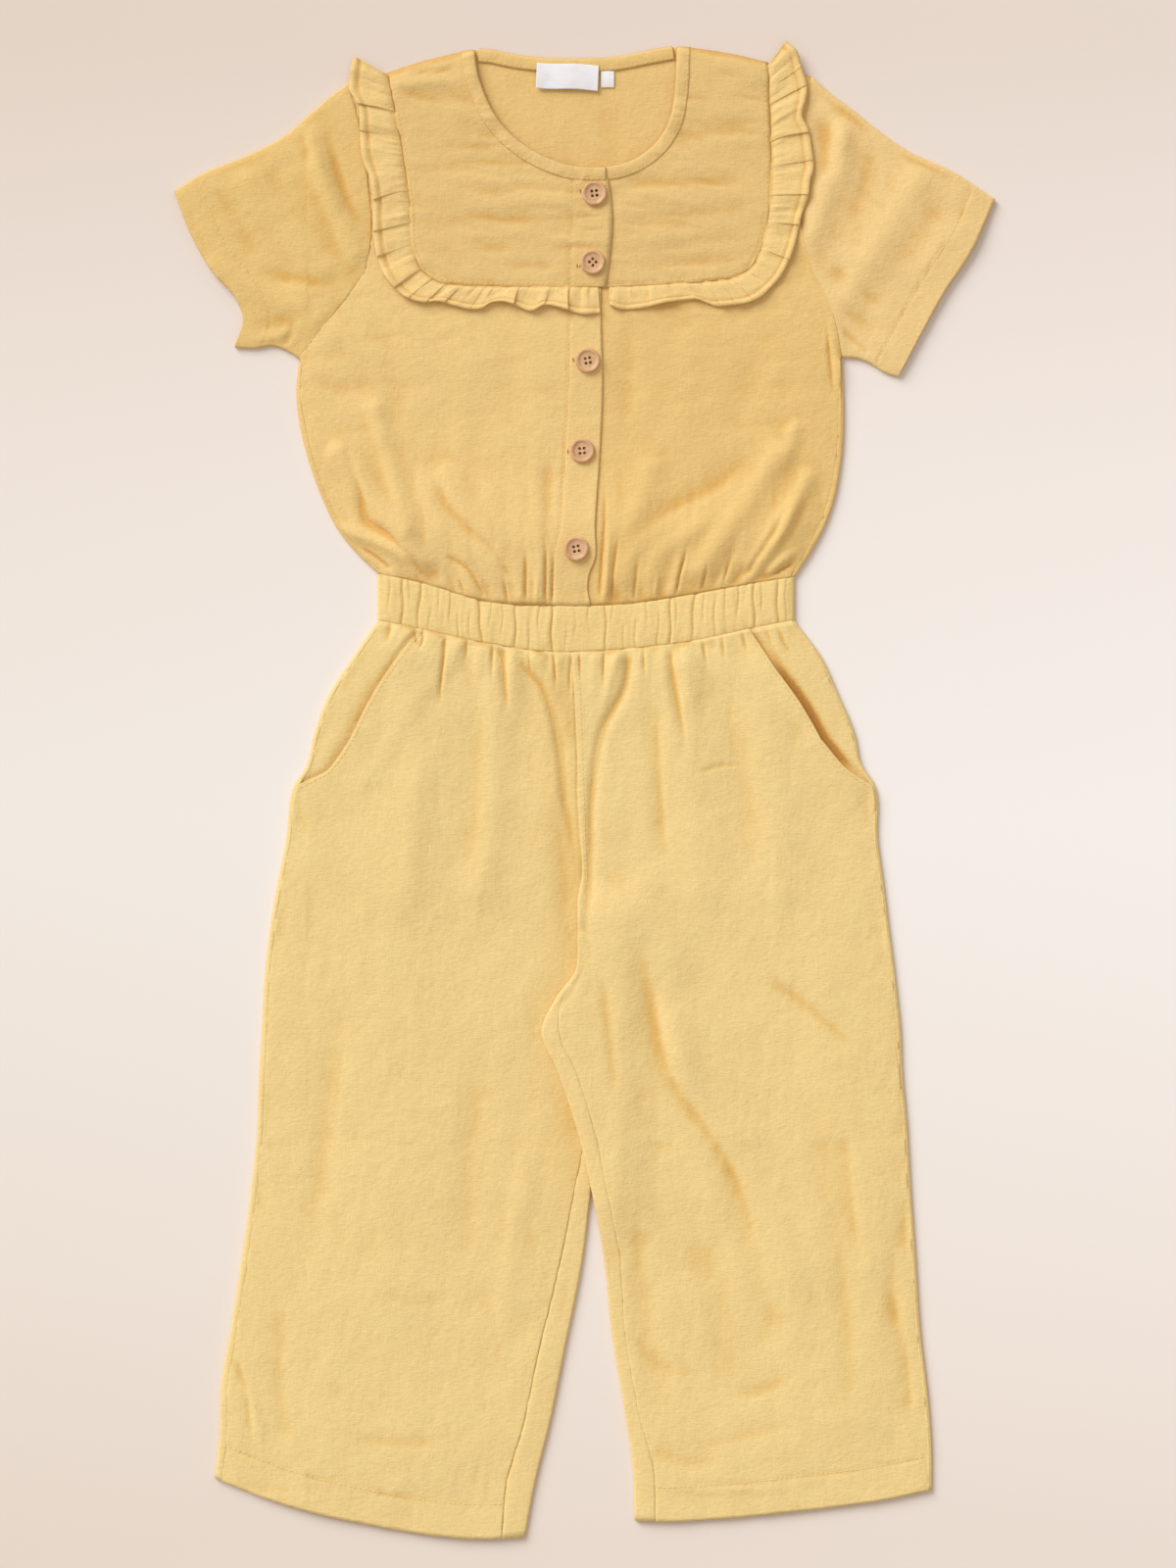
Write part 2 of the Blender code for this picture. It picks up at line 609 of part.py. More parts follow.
def back_panel():
    """The whole back of the bodice, wrapped round both side folds up to the underarms."""
    left = np.vstack([spaced(SIDE_LEFT, SIDE_SPANS)[:-1], armhole(ARMHOLE_LEFT, 0)])
    right = np.vstack([spaced(SIDE_RIGHT, SIDE_SPANS)[:-1], armhole(ARMHOLE_RIGHT, 0)])
    low = waist_edge("top", left[0][0], right[0][0], PLAN_COLUMNS, WAIST_GAP)
    left[0], right[0] = low[0], low[-1]
    ridge = np.vstack([left[-1:], SHOULDER_LEFT[1:], BACK_NECK[1:], SHOULDER_RIGHT[-2:0:-1], right[-1:]])
    grid = coons(left, right, low, spaced(ridge, PLAN_COLUMNS, curved=False))
    shares = np.linspace(0, 1, BACK_COLUMNS + 1)[1:-1]
    sections = []
    for i, width in enumerate(widths(grid)):
        edge = folded_edge(width, side_seam_inset()[i]) if i < SIDE_SPANS else plain_edge(width)
        sections.append(section(edge, shares, edge))
    return from_sections("back_bodice", grid, sections, no_lap)


def yoke_panel(name, shoulder, neck, seam, edge, lap):
    """Half of the yoke: shoulder and neckline above, the ruffled seam below."""
    turn = spaced(seam[YOKE_TURN:], YOKE_ROWS)
    base = spaced(seam[: YOKE_TURN + 1], YOKE_COLUMNS)[::-1]
    base[-1] = edge[0]
    over_shoulder = spaced((seam[-1], *shoulder[-2:]), SHOULDER_COLUMNS)
    crest = np.vstack([over_shoulder[:-1], spaced(neck, YOKE_COLUMNS - SHOULDER_COLUMNS)])
    crest[0] = turn[-1]
    centre = spaced(edge, YOKE_ROWS)
    centre[-1] = crest[-1]
    plan = coons(turn, centre, base, crest)
    return cloth(name, plan, on_shoulder(plan, upper(plan) + LAP + lap(plan)), cotton)


def strip_on(line, width, shares=(0, 0.5, 1)):
    """A strip of plan points along a line and the same line moved to its left."""
    share = np.array(shares)[None, :, None]
    return line[:, None] * (1 - share) + moved(line, width)[:, None] * share


def binding(name, neck, width, lap, count):
    """Bias binding on top of the yoke's neckline, along its first stretches."""
    plan = strip_on(spaced(neck, BINDING_COLUMNS)[: count + 1], width)
    return cloth(name, plan, on_shoulder(plan, upper(plan) + LAP + lap(plan)) + BINDING_LAP, band_cotton)


def back_binding():
    plan = strip_on(spaced(BACK_NECK, BINDING_COLUMNS)[1:-1], -BINDING_WIDTH)
    return cloth("neck_binding_back", plan, np.full(plan.shape[:-1], FLOOR + LAP), band_cotton)


def ruffle(name, table, lap):
    """A gathered strip: flat at the yoke seam, waving towards its free edge."""
    count = RUFFLE_WAVES * RUFFLE_STEPS
    root = spaced(table_edge(table, RUFFLE_COLUMNS, "root_x", "root_y"), count)
    tip = spaced(table_edge(table, RUFFLE_COLUMNS, "tip_x", "tip_y"), count)
    share = np.array(RUFFLE_ROWS)
    plan = root[:, None] * (1 - share[None, :, None]) + tip[:, None] * share[None, :, None]
    turn = 2 * math.pi * np.linspace(0, 1, count + 1)
    phase = RUFFLE_WAVES * turn + RUFFLE_WANDER * np.sin(3 * turn)
    wave = (0.5 - 0.5 * np.cos(phase)) * (0.75 + 0.25 * np.sin(2.3 * turn + 1))
    grow = RUFFLE_ROOT_HEIGHT + (RUFFLE_WAVE_HEIGHT - RUFFLE_ROOT_HEIGHT) * share
    ground = upper(plan) + lap(plan) + LAP + RUFFLE_CLEAR
    return cloth(name, plan, ground + wave[:, None] * grow[None, :], cotton)


def sleeve(name, top, under, cuff, arm, outward):
    """A short sleeve: one piece of cloth, folded along the top and closed under the arm."""
    line = armhole(arm, outward * SEAM / 2)[::-1]
    upper_edge, lower_edge = spaced(top, SLEEVE_ROWS), spaced(under, SLEEVE_ROWS)
    upper_edge[0], lower_edge[0] = line[0], line[-1]
    grid = coons(upper_edge, lower_edge, line, spaced(cuff, len(line) - 1))
    shares = list(np.linspace(0, 1, len(line))[1:-1])
    sections = [ring_section(width, shares) for width in widths(grid)]
    return from_sections(name, grid, sections, no_lap, ring=True)


# ------------------------------------------------------------------------ waistband
def waistband():
    """An elasticated casing, gathered, as one flattened ring."""
    over = np.linspace(BAND_LEFT + FOLD_R, BAND_RIGHT - FOLD_R, BAND_STEPS + 1)
    arc = np.array(fold_arc(1.0))
    below = over[::-4][1:-1]
    x = np.concatenate([over, BAND_RIGHT - arc[::-1, 0][1:], below, BAND_LEFT + arc[:, 0]])
    folds = FLOOR + arc[:, 1]
    z = np.concatenate([TOP + band_rise(over), folds[::-1][1:], 0 * below + FLOOR, folds])
    low, high = band_y("bottom", x), band_y("top", x)
    plan = np.stack([np.stack([x, low], axis=1), np.stack([x, high], axis=1)])
    return cloth("waistband", plan, np.stack([z, z]), band_cotton, ring=True)


# ------------------------------------------------------------------------- trousers
def leg_grid(table, hem):
    """Plan grid of a leg, rows from the waist to the hem, columns from the outer to the inner edge."""
    outer, inner = np.array(leg_edge(table, "out"), float), np.array(leg_edge(table, "in"), float)
    waist = waist_edge("bottom", outer[0][0], inner[0][0], PLAN_COLUMNS, -WAIST_GAP)
    outer[0], inner[0] = waist[0], waist[-1]
    return coons(outer, inner, waist, spaced(hem, PLAN_COLUMNS))


def opening_distance(grid, pocket):
    """How far in from the outer edge the pocket opening is, on each of the rows that it passes."""
    slant = spaced(pocket, POCKET_ROWS)
    return np.linalg.norm(slant - grid[: POCKET_ROWS + 1, 0], axis=1)


def leg_front(name, table, hem, pocket, lift):
    """The front of a leg, cut away at the top along the pocket opening."""
    grid = leg_grid(table, hem)
    width = widths(grid)
    first = np.array([row[LEG_COLUMNS.index("seam_out")] for row in table]) + SEAM / 2
    first[:POCKET_ROWS] = opening_distance(grid, pocket)[:-1]
    last = np.array([row[LEG_COLUMNS.index("seam_in")] for row in table]) + SEAM / 2
    shares = np.linspace(first / width, 1 - last / width, LEG_FRONT_COLUMNS + 1, axis=1)
    plan = np.array([[along(row, u) for u in line] for row, line in zip(grid, shares)])
    near_pocket = 1 - ramp(to_line(plan, pocket), POCKET_TUCK, POCKET_TUCK + 12)
    near_pocket *= ramp(plan[..., 1], *POCKET_FADE)
    return cloth(name, plan, upper(plan) + lift(plan) + POCKET_DIP * near_pocket, cotton)


def leg_back(name, table, hem, lift):
    """The back of a leg: it wraps round the outer fold, and below the crotch round the inner one."""
    grid = leg_grid(table, hem)
    sections = []
    for row, width in zip(table, widths(grid)):
        seam_out, seam_in, wrap = row[-3:]
        inner = folded_edge(width, seam_in) if wrap else plain_edge(width)
        sections.append(section(folded_edge(width, seam_out), BACK_SHARES, inner))
    return from_sections(name, grid, sections, lift)


def pocket_piece(name, table, hem, pocket, lift):
    """The cloth seen through a pocket opening: from the side seam to well under the front."""
    grid = leg_grid(table, hem)[: POCKET_ROWS + 1]
    width = widths(grid)
    seam = np.array([row[LEG_COLUMNS.index("seam_out")] for row in table[: POCKET_ROWS + 1]]) + SEAM / 2
    opening = np.maximum(opening_distance(grid, pocket), seam)
    shares = np.linspace(seam / width, (opening + POCKET_TUCK) / width, POCKET_COLUMNS + 1, axis=1)
    plan = np.array([[along(row, u) for u in line] for row, line in zip(grid, shares)])
    under = ramp(shares * width[:, None] - opening[:, None], *POCKET_STEP)
    return cloth(name, plan, upper(plan) + lift(plan) - POCKET_DIP * under, cotton)


# -------------------------------------------------------------- buttons and labels
def button_profile():
    """Half of a button's section: a dished face inside a round rim."""
    r, h = BUTTON_R, BUTTON_THICK
    rim, dish = r - BUTTON_RIM[0], r - BUTTON_RIM[1]
    face = h - BUTTON_DISH
    shoulder = (r - 0.3, h - 0.5)
    foot = r - BUTTON_UNDERCUT
    return ((0.001, face), (dish, face), (rim, h), shoulder, (r, h / 2), (foot, 0), (0.001, 0))


def resting_height(x, y, radius):
    """The highest point of the cloth under a disc."""
    turn = np.linspace(0, 2 * math.pi, 25)
    spots = np.stack([x + radius * np.cos(turn), y + radius * np.sin(turn)], axis=1)
    spots = np.vstack([spots, [(x, y)]])
    on_yoke = LAP if y > YOKE_EDGE[0][1] else 0
    return float((upper(spots) + placket_lap(spots)).max()) + on_yoke + WALL / 2


def hole_cutter(name, x, y, z):
    bpy.ops.mesh.primitive_cylinder_add(vertices=6, radius=HOLE_R * MM, depth=4 * BUTTON_THICK * MM)
    cutter = bpy.context.active_object
    cutter.name = name
    cutter.location = (x * MM, y * MM, z * MM)
    cutter.hide_render = True
    cutter.display_type = "WIRE"
    for owner in list(cutter.users_collection):
        owner.objects.unlink(cutter)
    cutters.objects.link(cutter)
    return cutter


def button(name, x, y, turned):
    """A round wooden button with a raised rim and four holes, flat on the placket."""
    base = resting_height(x, y, BUTTON_R) + SEAM
    outline = bmesh.new()
    points = [outline.verts.new((px * MM, 0, pz * MM)) for px, pz in button_profile()]
    for a, b in zip(points, points[1:]):
        outline.edges.new((a, b))
    mesh = bpy.data.meshes.new(name)
    outline.to_mesh(mesh)
    outline.free()
    made = add_object(name, mesh, wood)
    made.location = (x * MM, y * MM, base * MM)
    screw = made.modifiers.new("turned", "SCREW")
    screw.axis = "Z"
    screw.steps = screw.render_steps = BUTTON_STEPS
    screw.use_merge_vertices = True
    screw.merge_threshold = 0.00001
    screw.use_normal_calculate = True
    for i in range(4):
        angle = math.radians(turned + 45 + 90 * i)
        reach = HOLE_PITCH / math.sqrt(2)
        cut = made.modifiers.new(f"hole_{i}", "BOOLEAN")
        cut.operation = "DIFFERENCE"
        cut.solver = "EXACT"
        cut.object = hole_cutter(
            f"{name}_hole_{i}", x + reach * math.cos(angle), y + reach * math.sin(angle), base
        )
    return made


def label(name, centre, size, turn, level):
    """A woven label lying on the inside of the back, bowed a little along its middle."""
    u, v = np.meshgrid(np.linspace(-0.5, 0.5, 5), np.linspace(-0.5, 0.5, 3))
    cos, sin = math.cos(math.radians(turn)), math.sin(math.radians(turn))
    dx, dy = u * size[0], v * size[1]
    plan = np.stack([centre[0] + dx * cos - dy * sin, centre[1] + dx * sin + dy * cos], axis=-1)
    return cloth(name, plan, level + LABEL_BULGE * (1 - 4 * v * v), white)


# --------------------------------------------------------------------- the garment
for old in list(bpy.data.objects):
    bpy.data.objects.remove(old)
garment = bpy.data.collections.new("jumpsuit")
cutters = bpy.data.collections.new("cutters")
bpy.context.scene.collection.children.link(garment)
bpy.context.scene.collection.children.link(cutters)
cotton = material("yellow_cotton", COTTON, 0.9)
band_cotton = material("yellow_cotton_band", COTTON_BAND, 0.9)
wood = material("button_wood", WOOD, 0.55)
white = material("label_white", LABEL_WHITE, 0.8)

back_panel()
front("front_left", SIDE_LEFT, ARMHOLE_LEFT, FRONT_EDGE, YOKE_LEFT, 1, placket_lap)
front("front_right", SIDE_RIGHT, ARMHOLE_RIGHT, FRONT_UNDER, YOKE_RIGHT, -1, no_lap)
yoke_panel("yoke_left", SHOULDER_LEFT, NECK_LEFT, YOKE_LEFT, YOKE_EDGE, placket_lap)
yoke_panel("yoke_right", SHOULDER_RIGHT, NECK_RIGHT, YOKE_RIGHT, YOKE_UNDER, no_lap)
binding("neck_binding_left", NECK_LEFT, -BINDING_WIDTH, placket_lap, BINDING_COLUMNS)
binding("neck_binding_right", NECK_RIGHT, BINDING_WIDTH, no_lap, BINDING_COLUMNS - 3)
back_binding()
ruffle("ruffle_left", RUFFLE_LEFT, placket_lap)
ruffle("ruffle_right", RUFFLE_RIGHT, no_lap)
sleeve("sleeve_left", SLEEVE_TOP_LEFT, SLEEVE_UNDER_LEFT, CUFF_LEFT, ARMHOLE_LEFT, 1)
sleeve("sleeve_right", SLEEVE_TOP_RIGHT, SLEEVE_UNDER_RIGHT, CUFF_RIGHT, ARMHOLE_RIGHT, -1)
waistband()
leg_front("leg_front_left", LEG_LEFT, HEM_LEFT, POCKET_LEFT, no_lap)
leg_front("leg_front_right", LEG_RIGHT, HEM_RIGHT, POCKET_RIGHT, crossing_lift)
leg_back("leg_back_left", LEG_LEFT, HEM_LEFT, no_lap)
leg_back("leg_back_right", LEG_RIGHT, HEM_RIGHT, crossing_lift)
pocket_piece("pocket_left", LEG_LEFT, HEM_LEFT, POCKET_LEFT, no_lap)
pocket_piece("pocket_right", LEG_RIGHT, HEM_RIGHT, POCKET_RIGHT, crossing_lift)
for number, (place_x, place_y, turned) in enumerate(BUTTONS, 1):
    button(f"button_{number}", place_x, place_y, turned)
label("neck_label", LABEL_CENTRE, LABEL_SIZE, LABEL_TURN, FLOOR + 2 * LAP)
label("size_tag", TAG_CENTRE, TAG_SIZE, 0, FLOOR + LAP)
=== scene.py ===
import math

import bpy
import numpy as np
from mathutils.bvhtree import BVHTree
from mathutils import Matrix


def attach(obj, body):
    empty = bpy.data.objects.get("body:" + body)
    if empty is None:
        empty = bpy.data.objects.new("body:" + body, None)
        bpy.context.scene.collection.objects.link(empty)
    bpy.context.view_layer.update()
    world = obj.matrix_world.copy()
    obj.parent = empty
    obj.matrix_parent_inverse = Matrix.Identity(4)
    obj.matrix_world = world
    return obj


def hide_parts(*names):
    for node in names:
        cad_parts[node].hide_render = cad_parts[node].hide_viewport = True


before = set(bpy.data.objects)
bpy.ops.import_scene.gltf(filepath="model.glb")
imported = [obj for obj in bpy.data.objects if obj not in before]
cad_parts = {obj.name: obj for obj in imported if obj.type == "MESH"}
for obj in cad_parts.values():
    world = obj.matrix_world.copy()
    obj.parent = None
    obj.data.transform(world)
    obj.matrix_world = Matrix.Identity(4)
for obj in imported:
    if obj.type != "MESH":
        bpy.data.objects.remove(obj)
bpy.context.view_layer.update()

# The looks of a child's short-sleeved jumpsuit in crinkled cotton, laid flat on its back.
# Plan points are in millimetres, seen from above: +X to the right, +Y towards the neck,
# +Z up from the surface it lies on.  "left" and "right" are as seen from above.  Every
# cloth piece is a thin shell on its solid's form, with creases placed one by one.

MM = 0.001

# ------------------------------------------------------- sizes shared with the solids
WALL = 1.0  # thickness of a solid's wall
FOLD_R = 1.2  # radius of the mid-surface where a tube of cloth folds at its edge
FLOOR = WALL / 2  # height of the lower layer's mid-surface
TOP = FLOOR + 2 * FOLD_R  # height of the upper layer's mid-surface at a fold
LAP_ROOM = 0.35  # between a layer and the one it lies on
LAP = WALL + LAP_ROOM  # rise of one layer lying on another
PUFF_RUN = 14.0  # distance from a fold over which the upper layer rises
PUFF = 0.4  # least rise of the upper layer inside that distance
PRESSED_RUN = 16.0  # the waist seams hold the broad folds down for this far
EDGE_RUN = 3.0  # flat cloth next to a fold, before the first wide face
LEAST_WRAP = 0.2  # the back reaches at least this far past a fold
SIDE_SEAM = 1.8  # how far in front of the bodice's side fold its seam runs
WAIST_GAP = 0.05  # between the waistband and its neighbours
GATHER_SPREAD = 0.8  # how much wider a gather is at its reach

PLACKET_LAP = 1.05  # rise of the left front where it laps over the right one
PLACKET_RAMP = 62.0  # the rise starts this far outside the line of stitches
PLACKET_EARLY = 2.0  # and is whole this far outside it
BINDING_WIDTH = 7.5
SHOULDER_RUN = (-0.5, 4.5)  # the front rises from the back over this distance
BUTTON_R = 7.5  # a 15 mm wooden button
HOLE_PITCH = 2.9  # from one hole of a button to the next

# ------------------------------------------------------------------- the outline
# Waistband: height of its top and bottom edge along the front.
WAIST = dict(
    x=(-126, -100, -60, -20, 20, 70, 100, 128),
    top=(132, 126.5, 115, 112.5, 113, 120, 125.5, 130),
    bottom=(104, 98.5, 90, 84.5, 86, 92, 98.5, 104),
)
BAND_LEFT, BAND_RIGHT = -126.0, 128.0

# Side folds of the bodice, from the waist to the underarm.
SIDE_LEFT = (
    (-125, 132), (-139, 145), (-151, 160), (-160, 178), (-168, 200), (-173, 219), (-176, 243),
    (-174, 264),
)
SIDE_RIGHT = ((128, 130), (138, 145), (146, 160), (152, 176), (156, 196), (158, 217), (158, 242), (157, 265))

# Armhole seams, from the underarm to the shoulder.
ARMHOLE_LEFT = (
    (-174, 264), (-160, 283), (-147, 299), (-134, 317), (-130, 338), (-132, 370), (-137, 405),
    (-144, 432),
)
ARMHOLE_RIGHT = (
    (157, 265), (153, 285), (149, 299), (140, 317), (134, 338), (132, 370), (134, 405), (139, 436),
)
ARM_TURN = 3  # armhole point level with the yoke's corner

# Yoke seam, from the centre front round the corner to the shoulder.
YOKE_LEFT = (
    (10, 307), (-30, 307), (-74, 308), (-90, 310.5), (-100, 318), (-105.5, 331), (-107, 355),
    (-111, 385), (-116, 413), (-121, 438.5),
)
YOKE_RIGHT = (
    (14, 307), (38, 308), (74, 310.5), (91, 313), (102, 319), (108.5, 332), (113, 355), (114, 385),
    (113, 414), (112, 445),
)
YOKE_TURN = 4  # yoke seam point at the corner
CROTCH_ROW = 8  # leg section just above the crotch
CROTCH_CENTRE = (-4.0, -165.0)  # of the crossing, which stays flat
CROTCH_HALF = (26.0, 95.0)  # its half sizes

# Centre front edges, from the waist to the yoke, then to the neck.
FRONT_EDGE = ((4, 113.5), (4, 137), (6.5, 160), (9, 200), (11, 250), (10, 290), (10, 307))
FRONT_UNDER = ((-17, 113), (-15, 137), (-13, 160), (-11, 200), (-9, 250), (-9, 290), (-8, 307))
YOKE_EDGE = ((13, 307), (15.5, 326), (17, 346), (16, 364), (13, 379.5))
YOKE_UNDER = ((-7, 307), (-6.5, 326), (-6, 346), (-6, 364), (-6, 379.5))
# The placket's line of stitches.
STITCH_X = dict(y=(113, 145, 160, 196, 250, 307, 380), x=(-20, -19, -15, -13, -10, -9, -8))

# Neck and shoulders, from the ruffle along the shoulder and down the neckline.
NECK_LEFT = (
    (-68, 452.5), (-66, 438), (-62, 426), (-57, 415), (-49, 404), (-30, 389), (-8, 380.5), (13, 379.5),
)
NECK_RIGHT = (
    (57, 454.5), (56.5, 439), (55.5, 425), (52, 408), (43, 394), (30, 384.5), (14, 380), (-6, 379.5),
)
SHOULDER_LEFT = ((-144, 432), (-121, 438.5), (-97, 446), (-68, 453))
SHOULDER_RIGHT = ((139, 436), (112, 445), (90, 450), (57, 455))
BACK_NECK = ((-68, 453), (-56, 452), (-44, 449.5), (-28, 447.5), (2, 447), (20, 448), (38, 451.5), (57, 455))

# Sleeves: the fold along the top, the fold under the arm, and the cuff from top to bottom.
SLEEVE_TOP_LEFT = ((-144, 432), (-154, 425), (-167, 414), (-183, 400), (-206, 388), (-235, 376), (-251, 366))
SLEEVE_TOP_RIGHT = ((139, 436), (150, 426), (161, 418), (177, 405), (197, 391), (225, 378), (251, 361))
SLEEVE_UNDER_LEFT = ((-174, 264), (-182, 269), (-190, 272), (-202, 270.5), (-214, 271))
SLEEVE_UNDER_RIGHT = ((157, 265), (168, 264), (177, 260), (184, 255.5), (192, 253))
CUFF_LEFT = ((-251, 366), (-241, 340), (-227, 316), (-213, 300), (-209, 289), (-214, 271))
CUFF_RIGHT = ((251, 361), (236, 328), (220, 304), (206, 279), (192, 253))

# Leg sections, from the waist to the hem: the outer and the inner edge of the tube, how
# far in from each edge the seam runs, and how far the back wraps round the inner fold.
LEG_COLUMNS = ("x_out", "y_out", "x_in", "y_in", "seam_out", "seam_in", "wrap")
LEG_LEFT = (
    (-126, 103.5, -8, 84, 2, 0, 0),
    (-142, 80, -6, 62, 2, 0, 0),
    (-156, 58, -5, 40, 2, 0, 0),
    (-165, 34, -4, 18, 2, 0, 0),
    (-170, 14, -4, -2, 2, 0, 0),
    (-177, 3, -3, -22, 2, 0, 0),
    (-182, -30, -1, -48, 2, 0, 0),
    (-188, -60, -1, -70, 2.2, 0, 0),
    (-192, -85, -2, -90, 2.4, 1, 0),
    (-195, -110, 3, -112, 2.6, 3, 1),
    (-197, -145, 9, -148, 2.8, 4, 1),
    (-199, -180, 10, -180, 3, 6, 1),
    (-200, -209, 8, -212, 3, 8, 1),
    (-203, -240, 4, -242, 3.2, 10, 1),
    (-209, -284, -2, -290, 3.4, 14, 1),
    (-216, -329, -12, -340, 3.6, 16, 1),
    (-222, -365, -22, -389, 4, 16, 1),
    (-223, -395, -30, -421, 4.5, 18, 1),
    (-226, -421, -37, -457, 4.5, 14, 1),
)
LEG_RIGHT = (
    (128, 103.5, -8, 84, 1.6, 0, 0),
    (145, 80, -6, 62, 1.6, 0, 0),
    (155, 58, -5, 40, 1.6, 0, 0),
    (165, 34, -4, 18, 1.6, 0, 0),
    (169, 16, -4, -2, 1.6, 0, 0),
    (177, 3, -3, -22, 1.6, 0, 0),
    (179, -30, -1, -48, 1.6, 0, 0),
    (183, -60, -1, -70, 1.6, 0, 0),
    (186, -85, -2, -90, 1.6, 1, 0),
    (189, -108, -5, -110, 1.6, 3, 1),
    (191, -126, -17, -127, 1.8, 3.2, 1),
    (193, -146, -26, -148, 1.8, 11.5, 1),
    (194, -170, -17, -170, 1.8, 12, 1),
    (197, -205, -5, -205, 1.8, 11, 1),
    (199, -240, 4, -242, 1.8, 9.5, 1),
    (202, -284, 12, -284, 1.8, 10, 1),
    (205, -330, 17, -332, 1.8, 8, 1),
    (210, -374, 25, -381, 2, 8.5, 1),
    (212, -404, 30, -415, 2, 13, 1),
    (212, -428, 31, -447, 2, 13, 1),
)
HEM_LEFT = ((-226, -421), (-193, -434), (-166, -442), (-131, -449.5), (-92, -456), (-64, -458), (-37, -457))
HEM_RIGHT = ((212, -428), (184, -434), (164, -437), (122, -442), (80, -446), (50, -447.5), (31, -447))

# Pocket openings, from the waist seam to the side.
POCKET_LEFT = ((-101, 98), (-121, 77), (-133, 59), (-144, 40), (-154, 25), (-163, 16), (-176.5, 4))
POCKET_RIGHT = ((101, 98), (117, 77), (131, 60), (145, 41), (158, 23), (169, 9), (176.5, 4))
POCKET_ROWS = 5  # leg sections that the pocket opening runs past
POCKET_TUCK = 26.0  # how far the pocket piece reaches in under the front
POCKET_DIP = 0.8  # the front rises and the pocket piece dips by this where they lap
POCKET_STEP = (-5.0, -0.5)  # where it dips, from the opening inwards
POCKET_FADE = (-20.0, 5.0)  # the front's rise ends between these heights

# The right leg's inner edge lies over the left leg's below the crotch.
CROSS_LIFT = 3.9
CROSS_X = (18.0, 46.0)  # fully lifted, resting again
CROSS_Y = (-50.0, -80.0, -246.0, -292.0)  # starts, full, full, ends

# Ruffle sections from the shoulder to the centre front: root on the yoke seam, and tip.
RUFFLE_COLUMNS = ("root_x", "root_y", "tip_x", "tip_y")
RUFFLE_LEFT = (
    (-121.8, 437.5, -142, 447),
    (-117, 413, -140, 417),
    (-112, 385, -137, 390),
    (-108, 357, -131, 360),
    (-106.3, 333, -128, 333),
    (-101.5, 317.5, -118, 308),
    (-91, 309.5, -101, 297),
    (-74, 307, -77, 295),
    (-52, 306, -54, 294),
    (-28, 306, -29, 293),
    (-6, 306, -6, 292),
    (8.5, 306, 8.5, 291),
)
RUFFLE_RIGHT = (
    (112.6, 443.5, 122, 458),
    (114, 416, 136, 425),
    (115, 386, 138.5, 386),
    (114, 356, 134, 356),
    (109.5, 332, 127, 328),
    (103, 318, 114, 306),
    (91.5, 312, 97, 297),
    (74, 309.5, 76, 297),
    (56, 308.2, 56, 296),
    (38, 307, 38, 294),
    (15, 306, 15, 294),
)
RUFFLE_WAVES = 17  # on each side
RUFFLE_WANDER = 0.9  # unevenness of their spacing, in radians of the wave
RUFFLE_CLEAR = 0.35  # more room under the ruffle than under other layers
RUFFLE_WAVE_HEIGHT = 3.4  # at the hem
RUFFLE_ROOT_HEIGHT = 0.5

# Place of each button and how far its holes are turned.
BUTTONS = ((6, 364, 8), (5, 322, 45), (2, 262, 10), (-1.5, 207, 5), (-5, 147, 12))
LABEL_CENTRE, LABEL_SIZE, LABEL_TURN = (-10.5, 436.0), (38.0, 15.5), -2.5
TAG_CENTRE, TAG_SIZE = (14.0, 434.6), (8.0, 10.0)
LABEL_BULGE = 0.5

# ---------------------------------------------------------- folds of the upper layer
# Soft ridges: a line from one point to another, half its width, and its height.
RIDGE_COLUMNS = ("x0", "y0", "x1", "y1", "half_width", "height")
RIDGES = (
    # blouse above the waistband
    (-105, 158, 110, 158, 26, 3.2),
    (-150, 205, -98, 138, 7, 3.4),
    (-128, 232, -108, 160, 6, 2),
    (-84, 190, -50, 130, 9, 2.2),
    (40, 195, 22, 130, 9, 1.8),
    (118, 205, 70, 132, 8, 2.6),
    (136, 190, 104, 136, 6, 2.6),
    # bodice and yoke
    (-120, 280, 120, 276, 30, 1.2),
    (-90, 360, -15, 358, 9, 0.9),
    (25, 352, 100, 356, 10, 0.9),
    (-112, 430, -60, 408, 7, 1.2),
    # sleeves
    (-172, 405, -140, 330, 8, 2.6),
    (-205, 372, -160, 318, 9, 1.8),
    (-225, 318, -165, 290, 9, 1.8),
    (160, 405, 140, 340, 8, 2.4),
    (205, 375, 160, 300, 10, 1.8),
    # trousers
    (-100, 78, -112, -60, 22, 1.8),
    (-52, 78, -62, -60, 12, 1.8),
    (60, 78, 72, -60, 16, 1.8),
    (108, 70, 122, -60, 14, 1.6),
    (-110, -120, -125, -400, 40, 1.6),
    (38, -60, 60, -160, 14, 1.6),
    (60, -160, 110, -300, 22, 1.6),
    (150, -120, 160, -380, 24, 1.6),
)
# Gathers at the waist seams: place, half width, height, reach and lean of each.
GATHER_COLUMNS = ("x", "half_width", "height", "reach", "lean")
BODICE_GATHERS = (
    (-114, 4, 1.8, 14, -0.5),
    (-101, 5, 2.4, 22, -0.6),
    (-84, 4.5, 1.4, 16, -0.3),
    (-68, 4.5, 2, 26, -0.25),
    (-50, 4, 1.6, 18, -0.1),
    (-39, 3.6, 2.2, 26, 0),
    (-27, 3.4, 2.4, 40, 0),
    (12, 3.4, 2.4, 42, 0.1),
    (24, 4.5, 1.6, 30, 0.1),
    (40, 4.5, 1.4, 20, 0.1),
    (55, 3.8, 2.2, 26, 0.2),
    (70, 4, 1.4, 16, 0.4),
    (84, 4, 1.8, 22, 0.6),
    (98, 4.5, 2.2, 24, 0.7),
    (112, 4, 1.8, 16, 0.7),
)
